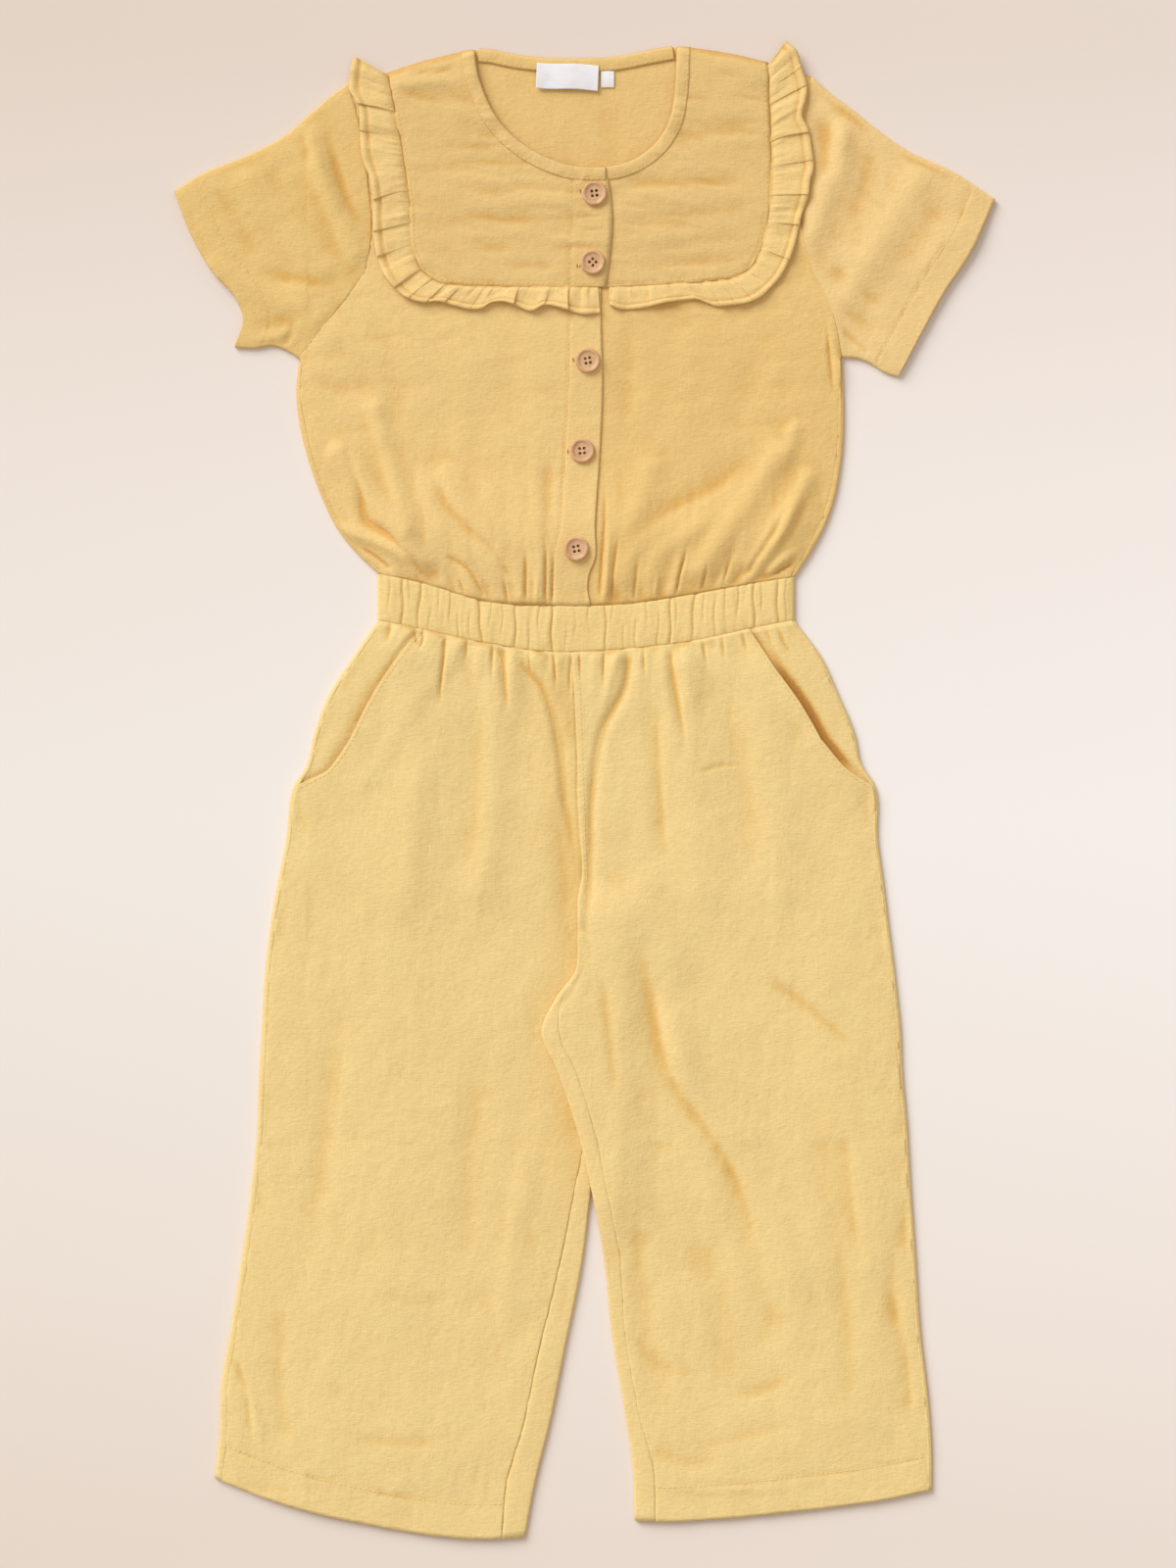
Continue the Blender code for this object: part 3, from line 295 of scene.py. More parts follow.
LEG_GATHERS = (
    (-112, 4, 1.8, 14, 0.2),
    (-92, 4.5, 1.2, 16, 0),
    (-78, 4, 1.8, 24, 0),
    (-60, 4, 1.2, 18, 0),
    (-44, 4, 2.2, 26, 0.05),
    (-31, 3.8, 1.8, 34, 0.2),
    (-16, 3.6, 1.4, 22, 0),
    (6, 3.6, 1.6, 24, 0),
    (20, 4, 1.4, 18, 0),
    (36, 4, 1.6, 22, 0),
    (48, 4.2, 2, 34, 0.1),
    (66, 4.5, 1.6, 26, 0.1),
    (84, 4, 1.6, 22, 0.1),
    (116, 4, 1.8, 14, 0.4),
)
BAND_WAVES = 31  # gathers round the front half of the waistband
BAND_WAVE_HEIGHT = 1.0

# ------------------------------------------------------------ the shells' own sizes
CLOTH = 0.8  # thickness of the thin shells
FINE_CLOTH = 0.7  # of the ruffles and bindings
LABEL_CLOTH = 0.45
SEAM = -0.8  # gap at a seam: below zero, because the shells lap over one another
LEAST_HEIGHT = 1.7  # the upper layer's mid-surface stays above the lower one
SEAM_DROP = 0.32  # cloth turns down at a seam
SEAM_WIDTH = 1.1
STITCH_SINK = 0.42  # a line of stitches pulls the cloth in
STITCH_WIDTH = 0.8
STITCH_PITCH = 3.1
STITCH_LENGTH = 2.2
STITCH_R = 0.26
HEM_DEPTH = 21.0
CUFF_DEPTH = 16.0

# Creases, given one by one: the line, half the width, the height, how much steeper the
# side to the left of the line is, and over what share of the line it fades in and out.
CREASE_COLUMNS = ("line", "half_width", "height", "skew", "fade_in", "fade_out")
BODICE_CREASES = (
    # left side of the blouse
    (((-149.7, 221.4), (-143.1, 200.4), (-136.5, 181.2), (-132.3, 165), (-120.9, 156.6),
      (-107.1, 141.6), (-93.3, 126)), 3.6, -2.6, 0.3, 0.4, 0.05),
    (((-155, 168), (-148.5, 160.8), (-130, 152), (-115.5, 145.2), (-101.7, 131.4)), 4.5, 2.2, -0.3, 0.2, 0.1),
    (((-140, 150), (-128, 143), (-117, 134)), 2.2, -1.6, 0.2, 0.3, 0.05),
    (((-92.1, 204.6), (-85.5, 178.2), (-75.9, 165), (-57.9, 148.2), (-46.5, 131.4),
      (-38.7, 117.6)), 4.5, -1.7, 0.3, 0.4, 0.05),
    (((-100, 200), (-93, 172), (-80, 152), (-63, 132)), 6, 1.3, 0, 0.4, 0.2),
    (((-87.9, 145.2), (-71.7, 135.6), (-64.5, 124.8), (-60, 117)), 2.4, -1.5, 0.3, 0.3, 0),
    (((-60, 200), (-57, 160), (-52, 125)), 8, 0.9, 0, 0.4, 0.3),
    (((-36.5, 148), (-35.7, 138.6), (-36.2, 115.2)), 1.8, -1.9, 0.3, 0.5, 0),
    (((-24.5, 158), (-23.6, 140), (-24.2, 114)), 1.7, -1.9, 0.3, 0.5, 0),
    (((-18.8, 146), (-19.5, 130), (-19.8, 114)), 1.3, -1.8, 0, 0.4, 0),
    (((-23, 208), (-22, 138)), 5, -1, 0, 0.4, 0.3),
    (((-104, 132), (-100, 127)), 1.8, -1.3, 0, 0.3, 0),
    (((-77, 130), (-73, 119)), 1.6, -1.2, 0.2, 0.5, 0),
    (((-50, 134), (-47, 114)), 1.7, -1.3, 0.2, 0.6, 0),
    (((-29, 132), (-29.5, 114)), 1.5, 1.2, 0, 0.5, 0),
    (((-168, 250), (-150, 246), (-120, 250)), 7, -0.7, 0, 0.3, 0.5),
    (((-165, 292), (-140, 270), (-110, 262)), 6, 0.8, 0, 0.3, 0.5),
    (((-130, 300), (-118, 262), (-112, 215)), 9, -0.7, 0, 0.4, 0.4),
    (((-70, 290), (-74, 240), (-72, 190)), 12, 0.6, 0, 0.4, 0.4),
    (((-40, 292), (-46, 250), (-44, 205)), 9, -0.5, 0, 0.4, 0.4),
    # right side of the blouse
    (((126.3, 177.6), (116.1, 157.8), (105.3, 141), (97.5, 128.4)), 3, -2.2, -0.2, 0.4, 0),
    (((136, 190), (124, 163), (112, 143)), 4, 1.6, 0.2, 0.4, 0.1),
    (((62.4, 150), (61.5, 144), (58, 130), (56.1, 118.8)), 1.7, -2.2, 0.2, 0.4, 0),
    (((108.3, 216.6), (81.9, 187.8), (50.7, 171), (27.3, 151.8), (17.1, 125.4)), 7, -1.3, 0.2, 0.4, 0.2),
    (((90, 176), (66, 158), (44, 142), (36, 120)), 6, 1.2, 0, 0.4, 0.1),
    (((131.7, 229.8), (126, 212), (120.9, 194.4)), 5, 1.3, 0, 0.4, 0.4),
    (((130.5, 139.8), (118.5, 133.2), (108.3, 128.4)), 1.8, -1.7, 0.2, 0.3, 0),
    (((134, 148), (121, 140), (110, 132)), 3, 1.3, 0, 0.3, 0.1),
    (((12.9, 190), (12.2, 160), (10.4, 135), (9.4, 114)), 1.8, -1.9, 0.2, 0.5, 0),
    (((22, 162), (18.5, 140), (16.4, 114)), 1.9, -1.5, 0.2, 0.5, 0),
    (((16.5, 168), (14.2, 140), (12.6, 114)), 1.6, 1.2, 0, 0.5, 0),
    (((33, 146), (30, 115)), 1.8, -1.3, 0.2, 0.6, 0),
    (((76, 142), (71, 121)), 1.9, -1.4, -0.2, 0.6, 0),
    (((90, 146), (84, 123)), 1.8, -1.2, -0.2, 0.6, 0),
    (((45, 136), (43, 117)), 1.6, 1, 0, 0.6, 0),
    (((152.7, 295), (154.4, 268), (156.9, 234.6)), 2.6, 1.7, 0, 0.2, 0.4),
    (((148, 286), (150, 262), (152, 238)), 1.6, -1.4, 0, 0.3, 0.5),
    (((120, 288), (100, 250), (92, 205)), 10, -0.6, 0, 0.4, 0.4),
    (((60, 290), (62, 250), (54, 200)), 12, 0.6, 0, 0.4, 0.4),
    (((30, 296), (27, 255), (24, 205)), 6, -0.6, 0, 0.4, 0.4),
)
YOKE_CREASES = (
    (((16, 371), (60, 371), (104, 373)), 5, -0.7, 0, 0.3, 0.4),
    (((18, 346), (60, 351), (112, 358)), 6, -0.9, 0.2, 0.2, 0.3),
    (((24, 394), (66, 400), (112, 405)), 6, -0.6, 0, 0.4, 0.3),
    (((20, 333), (60, 338), (106, 345)), 5, 0.6, 0, 0.3, 0.4),
    (((20, 321), (70, 322), (104, 326)), 4, -0.5, 0, 0.3, 0.4),
    (((-108, 350.5), (-60, 349.5), (-10, 349)), 6, -0.5, 0.1, 0.4, 0.4),
    (((-98, 341), (-60, 340), (-20, 340)), 4.5, 0.5, 0, 0.3, 0.2),
    (((-60, 321), (-36, 320), (-14, 320)), 4, -0.7, 0, 0.4, 0.1),
    (((-84, 394), (-67, 392), (-48, 392)), 4, -0.5, 0, 0.4, 0.4),
    (((-118, 430.5), (-98, 423), (-72.9, 414.6)), 4.5, -1.3, 0.2, 0.2, 0.4),
    (((-120, 436), (-107.7, 437.4), (-90, 439.8), (-74, 441)), 1.6, -0.9, 0.3, 0.1, 0.2),
    (((-119, 431), (-104, 431), (-84, 434)), 2.2, 0.9, 0, 0.1, 0.3),
    (((-114, 438), (-92, 433), (-70, 428)), 4, 0.7, 0, 0.2, 0.4),
    (((-102, 372), (-70, 374), (-40, 370)), 7, 0.5, 0, 0.4, 0.4),
    (((-5, 357), (5, 355.5), (15, 357)), 1.6, -0.4, 0, 0.3, 0.3),
    (((-5, 352), (5, 350.5), (16, 351)), 1.4, -0.35, 0, 0.3, 0.3),
    (((-5, 343), (4, 342), (12, 342)), 1.4, -0.4, 0, 0.3, 0.3),
    (((-4, 367), (-2, 371), (2, 378)), 1.8, 0.5, 0, 0.3, 0.3),
)
SLEEVE_CREASES = (
    # left
    (((-172, 404), (-170, 392), (-167, 378)), 3.7, -1.3, 0.3, 0.2, 0.4),
    (((-160, 404), (-153.3, 384), (-143.9, 355.8), (-134.5, 337)), 4.6, -1.3, 0.2, 0.4, 0.3),
    (((-166, 396), (-160, 372), (-150, 345)), 5.2, 1, 0, 0.4, 0.4),
    (((-206, 319), (-172, 312), (-142, 310)), 5.4, -0.7, 0.1, 0.4, 0.4),
    (((-190, 308), (-168, 305), (-150, 303)), 3.9, 0.8, 0, 0.3, 0.4),
    (((-210, 280), (-185, 287), (-152, 294)), 5.2, -0.7, 0.1, 0.4, 0.4),
    (((-205, 274), (-187, 278), (-172, 284)), 3.4, 0.8, 0, 0.3, 0.3),
    (((-161.2, 281), (-165.9, 268), (-172.2, 260)), 2.2, -1.3, 0, 0.2, 0.1),
    (((-178, 288), (-180, 278), (-186, 270)), 2.8, -0.9, 0, 0.3, 0.1),
    (((-232, 372), (-214, 350), (-200, 322)), 6.9, -0.6, 0.2, 0.3, 0.4),
    (((-240, 352), (-222, 336), (-205, 318)), 5.8, 0.6, 0, 0.3, 0.4),
    (((-196, 386), (-188, 356), (-172, 330)), 9.2, -0.6, 0, 0.4, 0.4),
    # right
    (((143, 414), (147, 392), (149, 369.6)), 6.3, -1.2, -0.2, 0.3, 0.4),
    (((156, 412), (158, 388), (158, 360)), 5.8, 0.9, 0, 0.4, 0.4),
    (((176, 398), (172, 372), (160, 340)), 6.9, -0.8, -0.2, 0.3, 0.4),
    (((226, 366), (206, 342), (186, 312)), 8, -0.6, -0.2, 0.3, 0.4),
    (((238, 350), (216, 330), (198, 306)), 6.9, 0.6, 0, 0.3, 0.4),
    (((150, 322), (166, 306), (184, 294)), 5.8, -0.8, 0.2, 0.2, 0.4),
    (((154, 300), (168, 288), (184, 276)), 4.6, -0.9, 0.2, 0.2, 0.4),
    (((156, 282), (168, 272), (178, 263)), 3, -1.1, 0, 0.1, 0.3),
    (((152, 334), (176, 322), (196, 314)), 5.8, 0.6, 0, 0.3, 0.4),
)
TROUSER_CREASES = (
    # left leg below the waistband
    (((-85.2, 96), (-85.5, 84), (-87.9, 61.8), (-88, 48)), 2, -2, 0.3, 0, 0.5),
    (((-56.5, 92), (-56.1, 64)), 1.7, -1.5, 0.2, 0, 0.6),
    (((-49.6, 91), (-49, 76), (-47.7, 56.4), (-47, 40)), 2.6, -2.4, 0.3, 0, 0.6),
    (((-44, 90), (-42.9, 83), (-27.3, 64), (-17.3, 34.8), (-12.3, -7.2), (-3.9, -46.2),
      (0.3, -66.6)), 4, -1.9, -0.3, 0.05, 0.3),
    (((-37, 90), (-26, 76), (-14, 46)), 4, 1.3, 0, 0.05, 0.5),
    (((-18.9, 85), (-18, 74), (-17.5, 60)), 1.7, -1.8, 0.2, 0, 0.6),
    (((-8, 84), (-9, 70), (-8.6, 52)), 1.6, -1.3, 0.2, 0, 0.6),
    (((-15, 0), (-13, -40), (-8, -112)), 7.5, -1.4, 0, 0.4, 0.3),
    (((-120.4, 103), (-119.5, 97), (-121, 90)), 1.6, -1.8, 0.2, 0, 0.3),
    (((-113, 102), (-112.2, 97), (-113, 92)), 1.3, -1.4, 0, 0, 0.4),
    (((-105, 100), (-103.6, 93), (-101, 86)), 1.4, -1.8, 0.2, 0, 0.3),
    (((-100, 98), (-99, 92), (-101, 85)), 1.4, -1.6, 0, 0, 0.3),
    (((-72, 94), (-72.5, 76)), 1.7, -1.2, 0.2, 0, 0.6),
    (((-64.5, 92), (-65.5, 60)), 4, 1, 0, 0.1, 0.6),
    (((-34, 86), (-33, 70)), 1.5, -1.3, 0, 0, 0.6),
    (((-62, 60), (-66, 0), (-72, -60)), 8, -1, 0, 0.4, 0.4),
    (((-96, 40), (-104, -20), (-112, -90)), 10, 0.9, 0, 0.4, 0.4),
    # right leg below the waistband
    (((51.5, 91), (53, 78), (57.9, 50), (63.3, 13.2)), 3, -2, 0.3, 0, 0.5),
    (((58, 92), (62, 70), (68, 40)), 5, 1.4, 0, 0.05, 0.5),
    (((42, 60), (44.1, 26), (45.5, 0), (49, -50)), 5, -1.2, 0.2, 0.4, 0.4),
    (((27, 87), (24.3, 63.6), (10.5, 36), (4.5, 1.2), (2.7, -49.8), (-0.3, -88.2),
      (-4.5, -116.4)), 3.6, -1.7, -0.2, 0.05, 0.2),
    (((20, 87), (14, 60), (8, 40)), 3, 1, 0, 0.05, 0.5),
    (((64, 10), (68.1, 10.2), (80.7, 14.4), (100.5, 15)), 2.4, -0.6, 0, 0.2, 0.4),
    (((-3, 85), (-2.6, 66)), 1.5, -1.3, 0, 0, 0.6),
    (((12, 86), (11.5, 62)), 1.6, -1.4, 0.2, 0, 0.6),
    (((36, 88), (37, 66)), 1.8, -1.4, 0.2, 0, 0.6),
    (((72, 93), (75, 74)), 1.7, -1.4, 0.2, 0, 0.6),
    (((84, 96), (86, 76)), 1.9, -1.5, 0.2, 0, 0.6),
    (((96, 98), (99, 84)), 1.7, -1.4, 0, 0, 0.5),
    (((118, 101), (122, 90), (127, 82)), 1.8, -1.6, 0.2, 0, 0.4),
    (((110, 99), (115, 88)), 1.6, -1.3, 0, 0, 0.5),
    (((88, 60), (97, 10), (104, -50)), 9, -0.9, 0, 0.4, 0.4),
    # right leg, lower
    (((30, -84), (38, -118), (43.5, -148.2), (53.7, -180), (75.3, -210), (96, -250),
      (104, -290)), 6.5, -1.4, 0.2, 0.3, 0.4),
    (((50, -120), (58, -160), (78, -195)), 8, 1, 0, 0.4, 0.4),
    (((106, -112), (121, -121.2), (143.1, -138), (168, -162)), 5.5, -1.1, 0.2, 0.4, 0.4),
    (((156.3, -193.2), (161.1, -243.6), (168.3, -294.6)), 6, -1.2, 0.2, 0.4, 0.4),
    (((60, -250), (80, -310), (92, -380)), 12, -0.9, 0, 0.4, 0.4),
    (((120, -260), (126, -330), (132, -400)), 14, 0.9, 0, 0.4, 0.4),
    (((26, -326), (44, -350), (76, -358)), 6, -0.5, 0, 0.4, 0.5),
    (((204, -236), (190, -290), (187, -356)), 6, -0.7, 0, 0.4, 0.4),
    (((36, -400), (60, -410), (92, -408)), 6, -0.6, 0, 0.3, 0.5),
    # left leg, lower
    (((-130, -306), (-106, -312), (-80, -310.8)), 5, -0.5, 0, 0.4, 0.4),
    (((-150, -393), (-115, -399), (-76, -396.6)), 5, -0.5, 0, 0.4, 0.4),
    (((-150, -120), (-158, -200), (-170, -290)), 9, -1, 0, 0.4, 0.4),
    (((-60, -140), (-70, -220), (-74, -300)), 11, -0.9, 0, 0.4, 0.4),
    (((-30, -200), (-44, -280), (-52, -350)), 8, 0.9, 0, 0.4, 0.4),
    (((-216, -340), (-206, -372), (-204, -404)), 3, -1, 0.2, 0.2, 0.4),
    (((-212, -352), (-200, -388), (-196, -418)), 4, 0.8, 0, 0.2, 0.4),
    (((-186, -300), (-188, -350), (-180, -410)), 7, -0.7, 0, 0.4, 0.4),
    # round the crotch
    (((4, -92), (-6, -118), (-20, -140)), 4, -1.5, 0.2, 0.2, 0.3),
    (((10, -106), (14, -150), (22, -196)), 5, -1.2, 0, 0.3, 0.4),
    # soft bands down the right leg
    (((20, -230), (34, -290), (42, -350), (60, -392)), 9, -0.9, 0.1, 0.4, 0.3),
    (((86, -200), (96, -260), (110, -310), (124, -344)), 9, -0.9, 0, 0.4, 0.4),
    (((136, -170), (150, -240), (158, -310), (162, -370), (158, -400)), 9, -1.1, 0, 0.3, 0.3),
    (((110, -230), (126, -290), (140, -350)), 10, 0.7, 0, 0.4, 0.4),
    (((186, -300), (196, -350), (198, -392)), 5, -1, 0.2, 0.3, 0.2),
    (((40, -406), (84, -398), (136, -384)), 5, -0.4, 0, 0.4, 0.4),
    (((76, -373), (110, -366), (140, -350)), 4.5, -0.5, 0, 0.4, 0.4),
)
# Wrinkles of the waistband: place, half width, depth, where they start and end up the
# band, and how far they lean from bottom to top.
WRINKLE_COLUMNS = ("x", "half_width", "depth", "low", "high", "lean")
WRINKLES = (
    (-119.7, 1.1, 0.6, 0.35, 1, 1.4),
    (-111.3, 1.3, 1.5, 0, 1, 0.6),
    (-107.1, 0.9, 0.6, 0.55, 1, -1.2),
    (-101.1, 1.3, 1.2, 0, 1, 2),
    (-93.9, 0.9, 0.6, 0, 0.45, 3),
    (-89.1, 1.1, 0.7, 0.5, 1, -1.6),
    (-82.5, 0.9, 0.7, 0.4, 1, 0.5),
    (-77.1, 1, 0.7, 0, 0.55, 1.2),
    (-70.2, 0.9, 0.7, 0, 0.6, 0.4),
    (-63.9, 1.3, 1.5, 0, 1, -2.6),
    (-57.9, 1, 0.6, 0.5, 1, 1.4),
    (-50.4, 0.9, 0.7, 0.4, 1, 0.6),
    (-42.3, 1.3, 1.5, 0, 1, 0.3),
    (-33.9, 1, 0.8, 0, 0.6, 1.4),
    (-28.5, 0.9, 0.8, 0.5, 1, 2.2),
    (-20.1, 1.5, 1.9, 0, 1, 0.2),
    (-11.4, 0.9, 0.5, 0, 0.5, 0.5),
    (-6, 0.9, 0.5, 0.5, 1, 0.5),
    (2.4, 0.9, 0.5, 0.6, 1, 0.2),
    (12.9, 1.2, 1.2, 0, 1, -0.5),
    (16.5, 0.9, 0.5, 0.6, 1, 0.8),
    (24.3, 1.1, 0.6, 0, 0.5, 1.4),
    (31.2, 0.9, 0.7, 0, 0.6, 0.5),
    (38.1, 0.9, 0.5, 0.6, 1, -0.9),
    (45, 0.9, 0.8, 0, 0.7, 0.8),
    (52.5, 1.3, 1.5, 0, 1, 0.4),
    (56.1, 1, 0.7, 0.45, 1, -1.4),
    (66.3, 1.3, 1.1, 0.1, 1, 1.6),
    (72.9, 0.9, 0.7, 0.4, 1, -0.4),
    (79.5, 1, 0.8, 0, 0.8, 0.6),
    (86.1, 1, 0.6, 0.5, 1, -1.6),
    (93.6, 0.9, 0.8, 0.4, 1, 0.4),
    (103.5, 1.3, 1.5, 0, 1, -0.6),
    (107.7, 0.9, 0.7, 0.4, 1, 1.4),
    (117.9, 1.3, 1.4, 0, 1, -0.8),
    (123, 1, 0.7, 0, 1, 0.2),
)
BAND_BULGE = 0.6  # the casing is rounder than the cloth beside it

# The ruffles' free edges, from the shoulder to the centre front.
TIP_LEFT = (
    (-141, 448.2), (-142.7, 439.8), (-143.7, 427.2), (-140.5, 422), (-137.8, 416), (-137.3, 408),
    (-137.1, 396.6), (-134.7, 382.2), (-131.7, 375.6), (-129.4, 363.6), (-129.3, 349.8), (-128.1, 332.4),
    (-124.5, 318.6), (-117.9, 308.4), (-108.9, 300.6), (-99.3, 297.6), (-89.7, 298.2), (-80.1, 295.8),
    (-69.9, 293.4), (-62.7, 294), (-57.9, 297), (-50.1, 298), (-42.9, 296), (-32.1, 292.2),
    (-24.9, 295.6), (-12.3, 293.4), (-1.5, 290.2), (9.5, 290.8),
)
TIP_RIGHT = (
    (122.7, 457.5), (129.5, 451.2), (132.3, 441.6), (136, 429), (135, 421.8), (133, 411), (136.5, 404),
    (138.9, 391.2), (140, 379.8), (138, 373), (136.8, 363.6), (132.3, 349.8), (129.3, 336), (125.1, 323.4),
    (119.1, 312.6), (113.8, 306.6), (107.1, 300.6), (98.7, 297), (89.7, 295.8), (80.7, 295.4), (74.1, 297.6),
    (68.1, 299.6), (62.5, 299.2), (51.3, 297.6), (33.3, 293.8), (21.9, 293.4), (13.5, 296.8),
)
# Folds of a ruffle that lie over the next one: distance from the shoulder, how far they
# lap, their half width, and their height.
LAP_COLUMNS = ("place", "over", "half_width", "height")
LAPS_LEFT = (
    (23, 13, 5.2, 2.4), (39, 3, 2.6, 0.7), (72, 17, 6.5, 2.9), (91, 3, 2.4, 0.8), (104, 3, 2.6, 0.8),
    (121, 7, 3, 1.7), (130, 7, 2.6, 1.9), (139, 7, 2.6, 1.8), (149, 5, 2.4, 1.3), (163, 4, 2.6, 1),
    (184, 12, 4.4, 2.4), (203, 3, 2.6, 0.9), (214, 9, 4, 1.9), (238, 4, 2.8, 1.2), (252, 4, 2.6, 1.2),
)
LAPS_RIGHT = (
    (15, 6, 3, 1.5), (24, 5, 2.6, 1.3), (46, 14, 5.4, 2.5), (62, 4, 2.6, 0.9), (79, 6, 3, 1.5),
    (95, 3, 2.4, 0.8), (112, 6, 3, 1.4), (128, 5, 2.4, 1.2), (139, 6, 2.6, 1.7), (147, 6, 2.4, 1.7),
    (155, 6, 2.4, 1.7), (170, 4, 2.6, 1.1), (190, 10, 4.2, 2), (211, 4, 2.6, 1), (232, 5, 2.8, 1.3),
)
RUFFLE_SHARES = (0, 0.04, 0.1, 0.18, 0.27, 0.37, 0.47, 0.57, 0.66, 0.73, 0.78, 0.83, 0.88, 0.92, 0.96, 1.0)
HEM_BEAD = 0.82  # share of the ruffle's width where its rolled hem starts

# Places of the thread at each buttonhole's end, which shows beside the button.
BUTTONHOLES = ((-2.0, 365.4), (-3.9, 319.4), (-6.3, 262.2), (-9.6, 206.4))
BUTTONHOLE_STARTS = ((-0.7, -0.9), (0.8, -0.6), (-0.9, 0.1))  # of its three threads, round that place
BUTTONHOLE_RUN = (0.3, 1.5, 0.0)  # from the start of each thread to its end
BUTTONHOLE_R = 0.28
BUTTONHOLE_RISE = 0.1  # over the cloth

# --------------------------------------------------------------------- plan curves
CURVE_STEPS, BAND_STEPS, CREASE_STEPS = 12, 8, 4  # of a curve, between two points of a table


def spans(line):
    """The length of each piece of a broken line."""
    return np.linalg.norm(np.diff(line, axis=0), axis=1)


def picked(line, places, wanted):
    """Plan points of a line at the wanted places, given the place of each of its points."""
    return np.stack([np.interp(wanted, places, line[:, k]) for k in (0, 1)], axis=-1)


def smooth(points, steps=CREASE_STEPS):
    """The points of a smooth curve through these ones, with that many steps between each two."""
    p = np.array(points, float)
    chord = spans(p)
    slope = np.diff(p, axis=0) / chord[:, None]
    weight = (chord[1:] / (chord[1:] + chord[:-1]))[:, None]
    tangent = np.vstack([slope[:1], slope[:-1] * weight + slope[1:] * (1 - weight), slope[-1:]])
    found = [p[0]]
    for i in range(len(p) - 1):
        for t in np.arange(1, steps + 1) / steps:
            ends = p[i] * (1 + 2 * t) * (1 - t) ** 2 + p[i + 1] * t * t * (3 - 2 * t)
            bow = tangent[i] * t * (1 - t) ** 2 - tangent[i + 1] * t * t * (1 - t)
            found.append(ends + chord[i] * bow)
    return np.array(found)


def spaced(points, count, curved=True):
    """count + 1 points at even distances along the curve through these ones."""
    line = smooth(points, CURVE_STEPS) if curved else np.array(points, float)
    run = np.concatenate([[0], np.cumsum(spans(line))])
    return picked(line, run, np.linspace(0, run[-1], count + 1))


def moved(line, distance):
    """The line moved to the left of its own direction."""
    along = np.gradient(line, axis=0)
    along /= np.linalg.norm(along, axis=1)[:, None]
    return line + distance * np.stack([-along[:, 1], along[:, 0]], axis=1)


def coons(left, right, bottom, top):
    """A grid of plan points [row, column] that fills the space between four edges."""
    v = np.linspace(0, 1, len(left))[:, None, None]
    u = np.linspace(0, 1, len(bottom))[None, :, None]
    ruled = (1 - u) * left[:, None] + u * right[:, None] + (1 - v) * bottom[None] + v * top[None]
    low_corners = (1 - v) * ((1 - u) * bottom[0] + u * bottom[-1])
    high_corners = v * ((1 - u) * top[0] + u * top[-1])
    return ruled - low_corners - high_corners


def band_y(which, x):
    """Y of the waistband's top or bottom edge at x."""
    table = smooth(list(zip(WAIST["x"], WAIST[which])), BAND_STEPS)
    return np.interp(x, table[:, 0], table[:, 1])


def waist_edge(which, x0, x1, count, gap):
    """The waistband's top or bottom edge between two places, moved out by the gap."""
    x = np.linspace(x0, x1, count + 1)
    return np.stack([x, band_y(which, x) + gap], axis=1)


def ramp(value, start, full):
    """0 before start, 1 past full, and smooth between."""
    t = np.clip((np.asarray(value, float) - start) / (full - start), 0, 1)
    return t * t * (3 - 2 * t)


def bell(distance, width):
    """1 where the distance is 0, falling smoothly towards 0 on both sides."""
    return np.exp(-((distance / width) ** 2))


def table_edge(table, columns, x, y):
    """The plan points in two columns of a table."""
    return [(row[columns.index(x)], row[columns.index(y)]) for row in table]


def leg_edge(table, side):
    return table_edge(table, LEG_COLUMNS, "x_" + side, "y_" + side)


def onto(points, line):
    """For each point and each piece of a broken line: the share of the way along, and the gap."""
    away = points.reshape(-1, 1, 2) - line[:-1][None]
    along = np.diff(line, axis=0)[None]
    share = np.clip((away * along).sum(-1) / (along * along).sum(-1), 0, 1)
    return share, away - share[..., None] * along


def to_line(points, line):
    """Distance of each point to a broken line."""
    _, gap = onto(points, np.array(line, float))
    return np.linalg.norm(gap, axis=-1).min(axis=1).reshape(points.shape[:-1])


def beside(points, line):
    """Signed distance of each point to a broken line, positive on its left, and its share of the way."""
    shares, gaps = onto(points, line)
    far = np.linalg.norm(gaps, axis=-1)
    nearest = far.argmin(axis=1)
    pick = np.arange(len(points)), nearest
    along, length = np.diff(line, axis=0), spans(line)
    run = np.concatenate([[0], np.cumsum(length)])
    cross = along[nearest, 0] * gaps[pick][:, 1] - along[nearest, 1] * gaps[pick][:, 0]
    return far[pick] * np.sign(cross), (run[nearest] + shares[pick] * length[nearest]) / run[-1]


# ------------------------------------------------------------- height of the layers
BAND_WANDER, BAND_WANDER_RUN = 1.6, 5.3  # radians the band's waves wander, over how many waves
BAND_CALM = dict(x=8, half_width=22, share=0.75)  # the waves are lower under the placket
BAND_END_RUN = 8.0  # and rise from nothing at the band's ends


def fold_lines():
    """Every line along which the cloth folds from its lower to its upper layer."""
    lines = [SIDE_LEFT, SIDE_RIGHT, SLEEVE_TOP_LEFT, SLEEVE_TOP_RIGHT, SLEEVE_UNDER_LEFT]
    lines += [SLEEVE_UNDER_RIGHT, SHOULDER_LEFT, SHOULDER_RIGHT, BACK_NECK]
    for table in (LEG_LEFT, LEG_RIGHT):
        lines += [leg_edge(table, "out"), leg_edge(table, "in")[CROTCH_ROW:]]
    lines += [[(x, band_y("bottom", x)), (x, band_y("top", x))] for x in (BAND_LEFT, BAND_RIGHT)]
    return lines


def fold_distance(points):
    """Distance of each point to the nearest fold."""
    return np.min([to_line(points, line) for line in fold_lines()], axis=0)


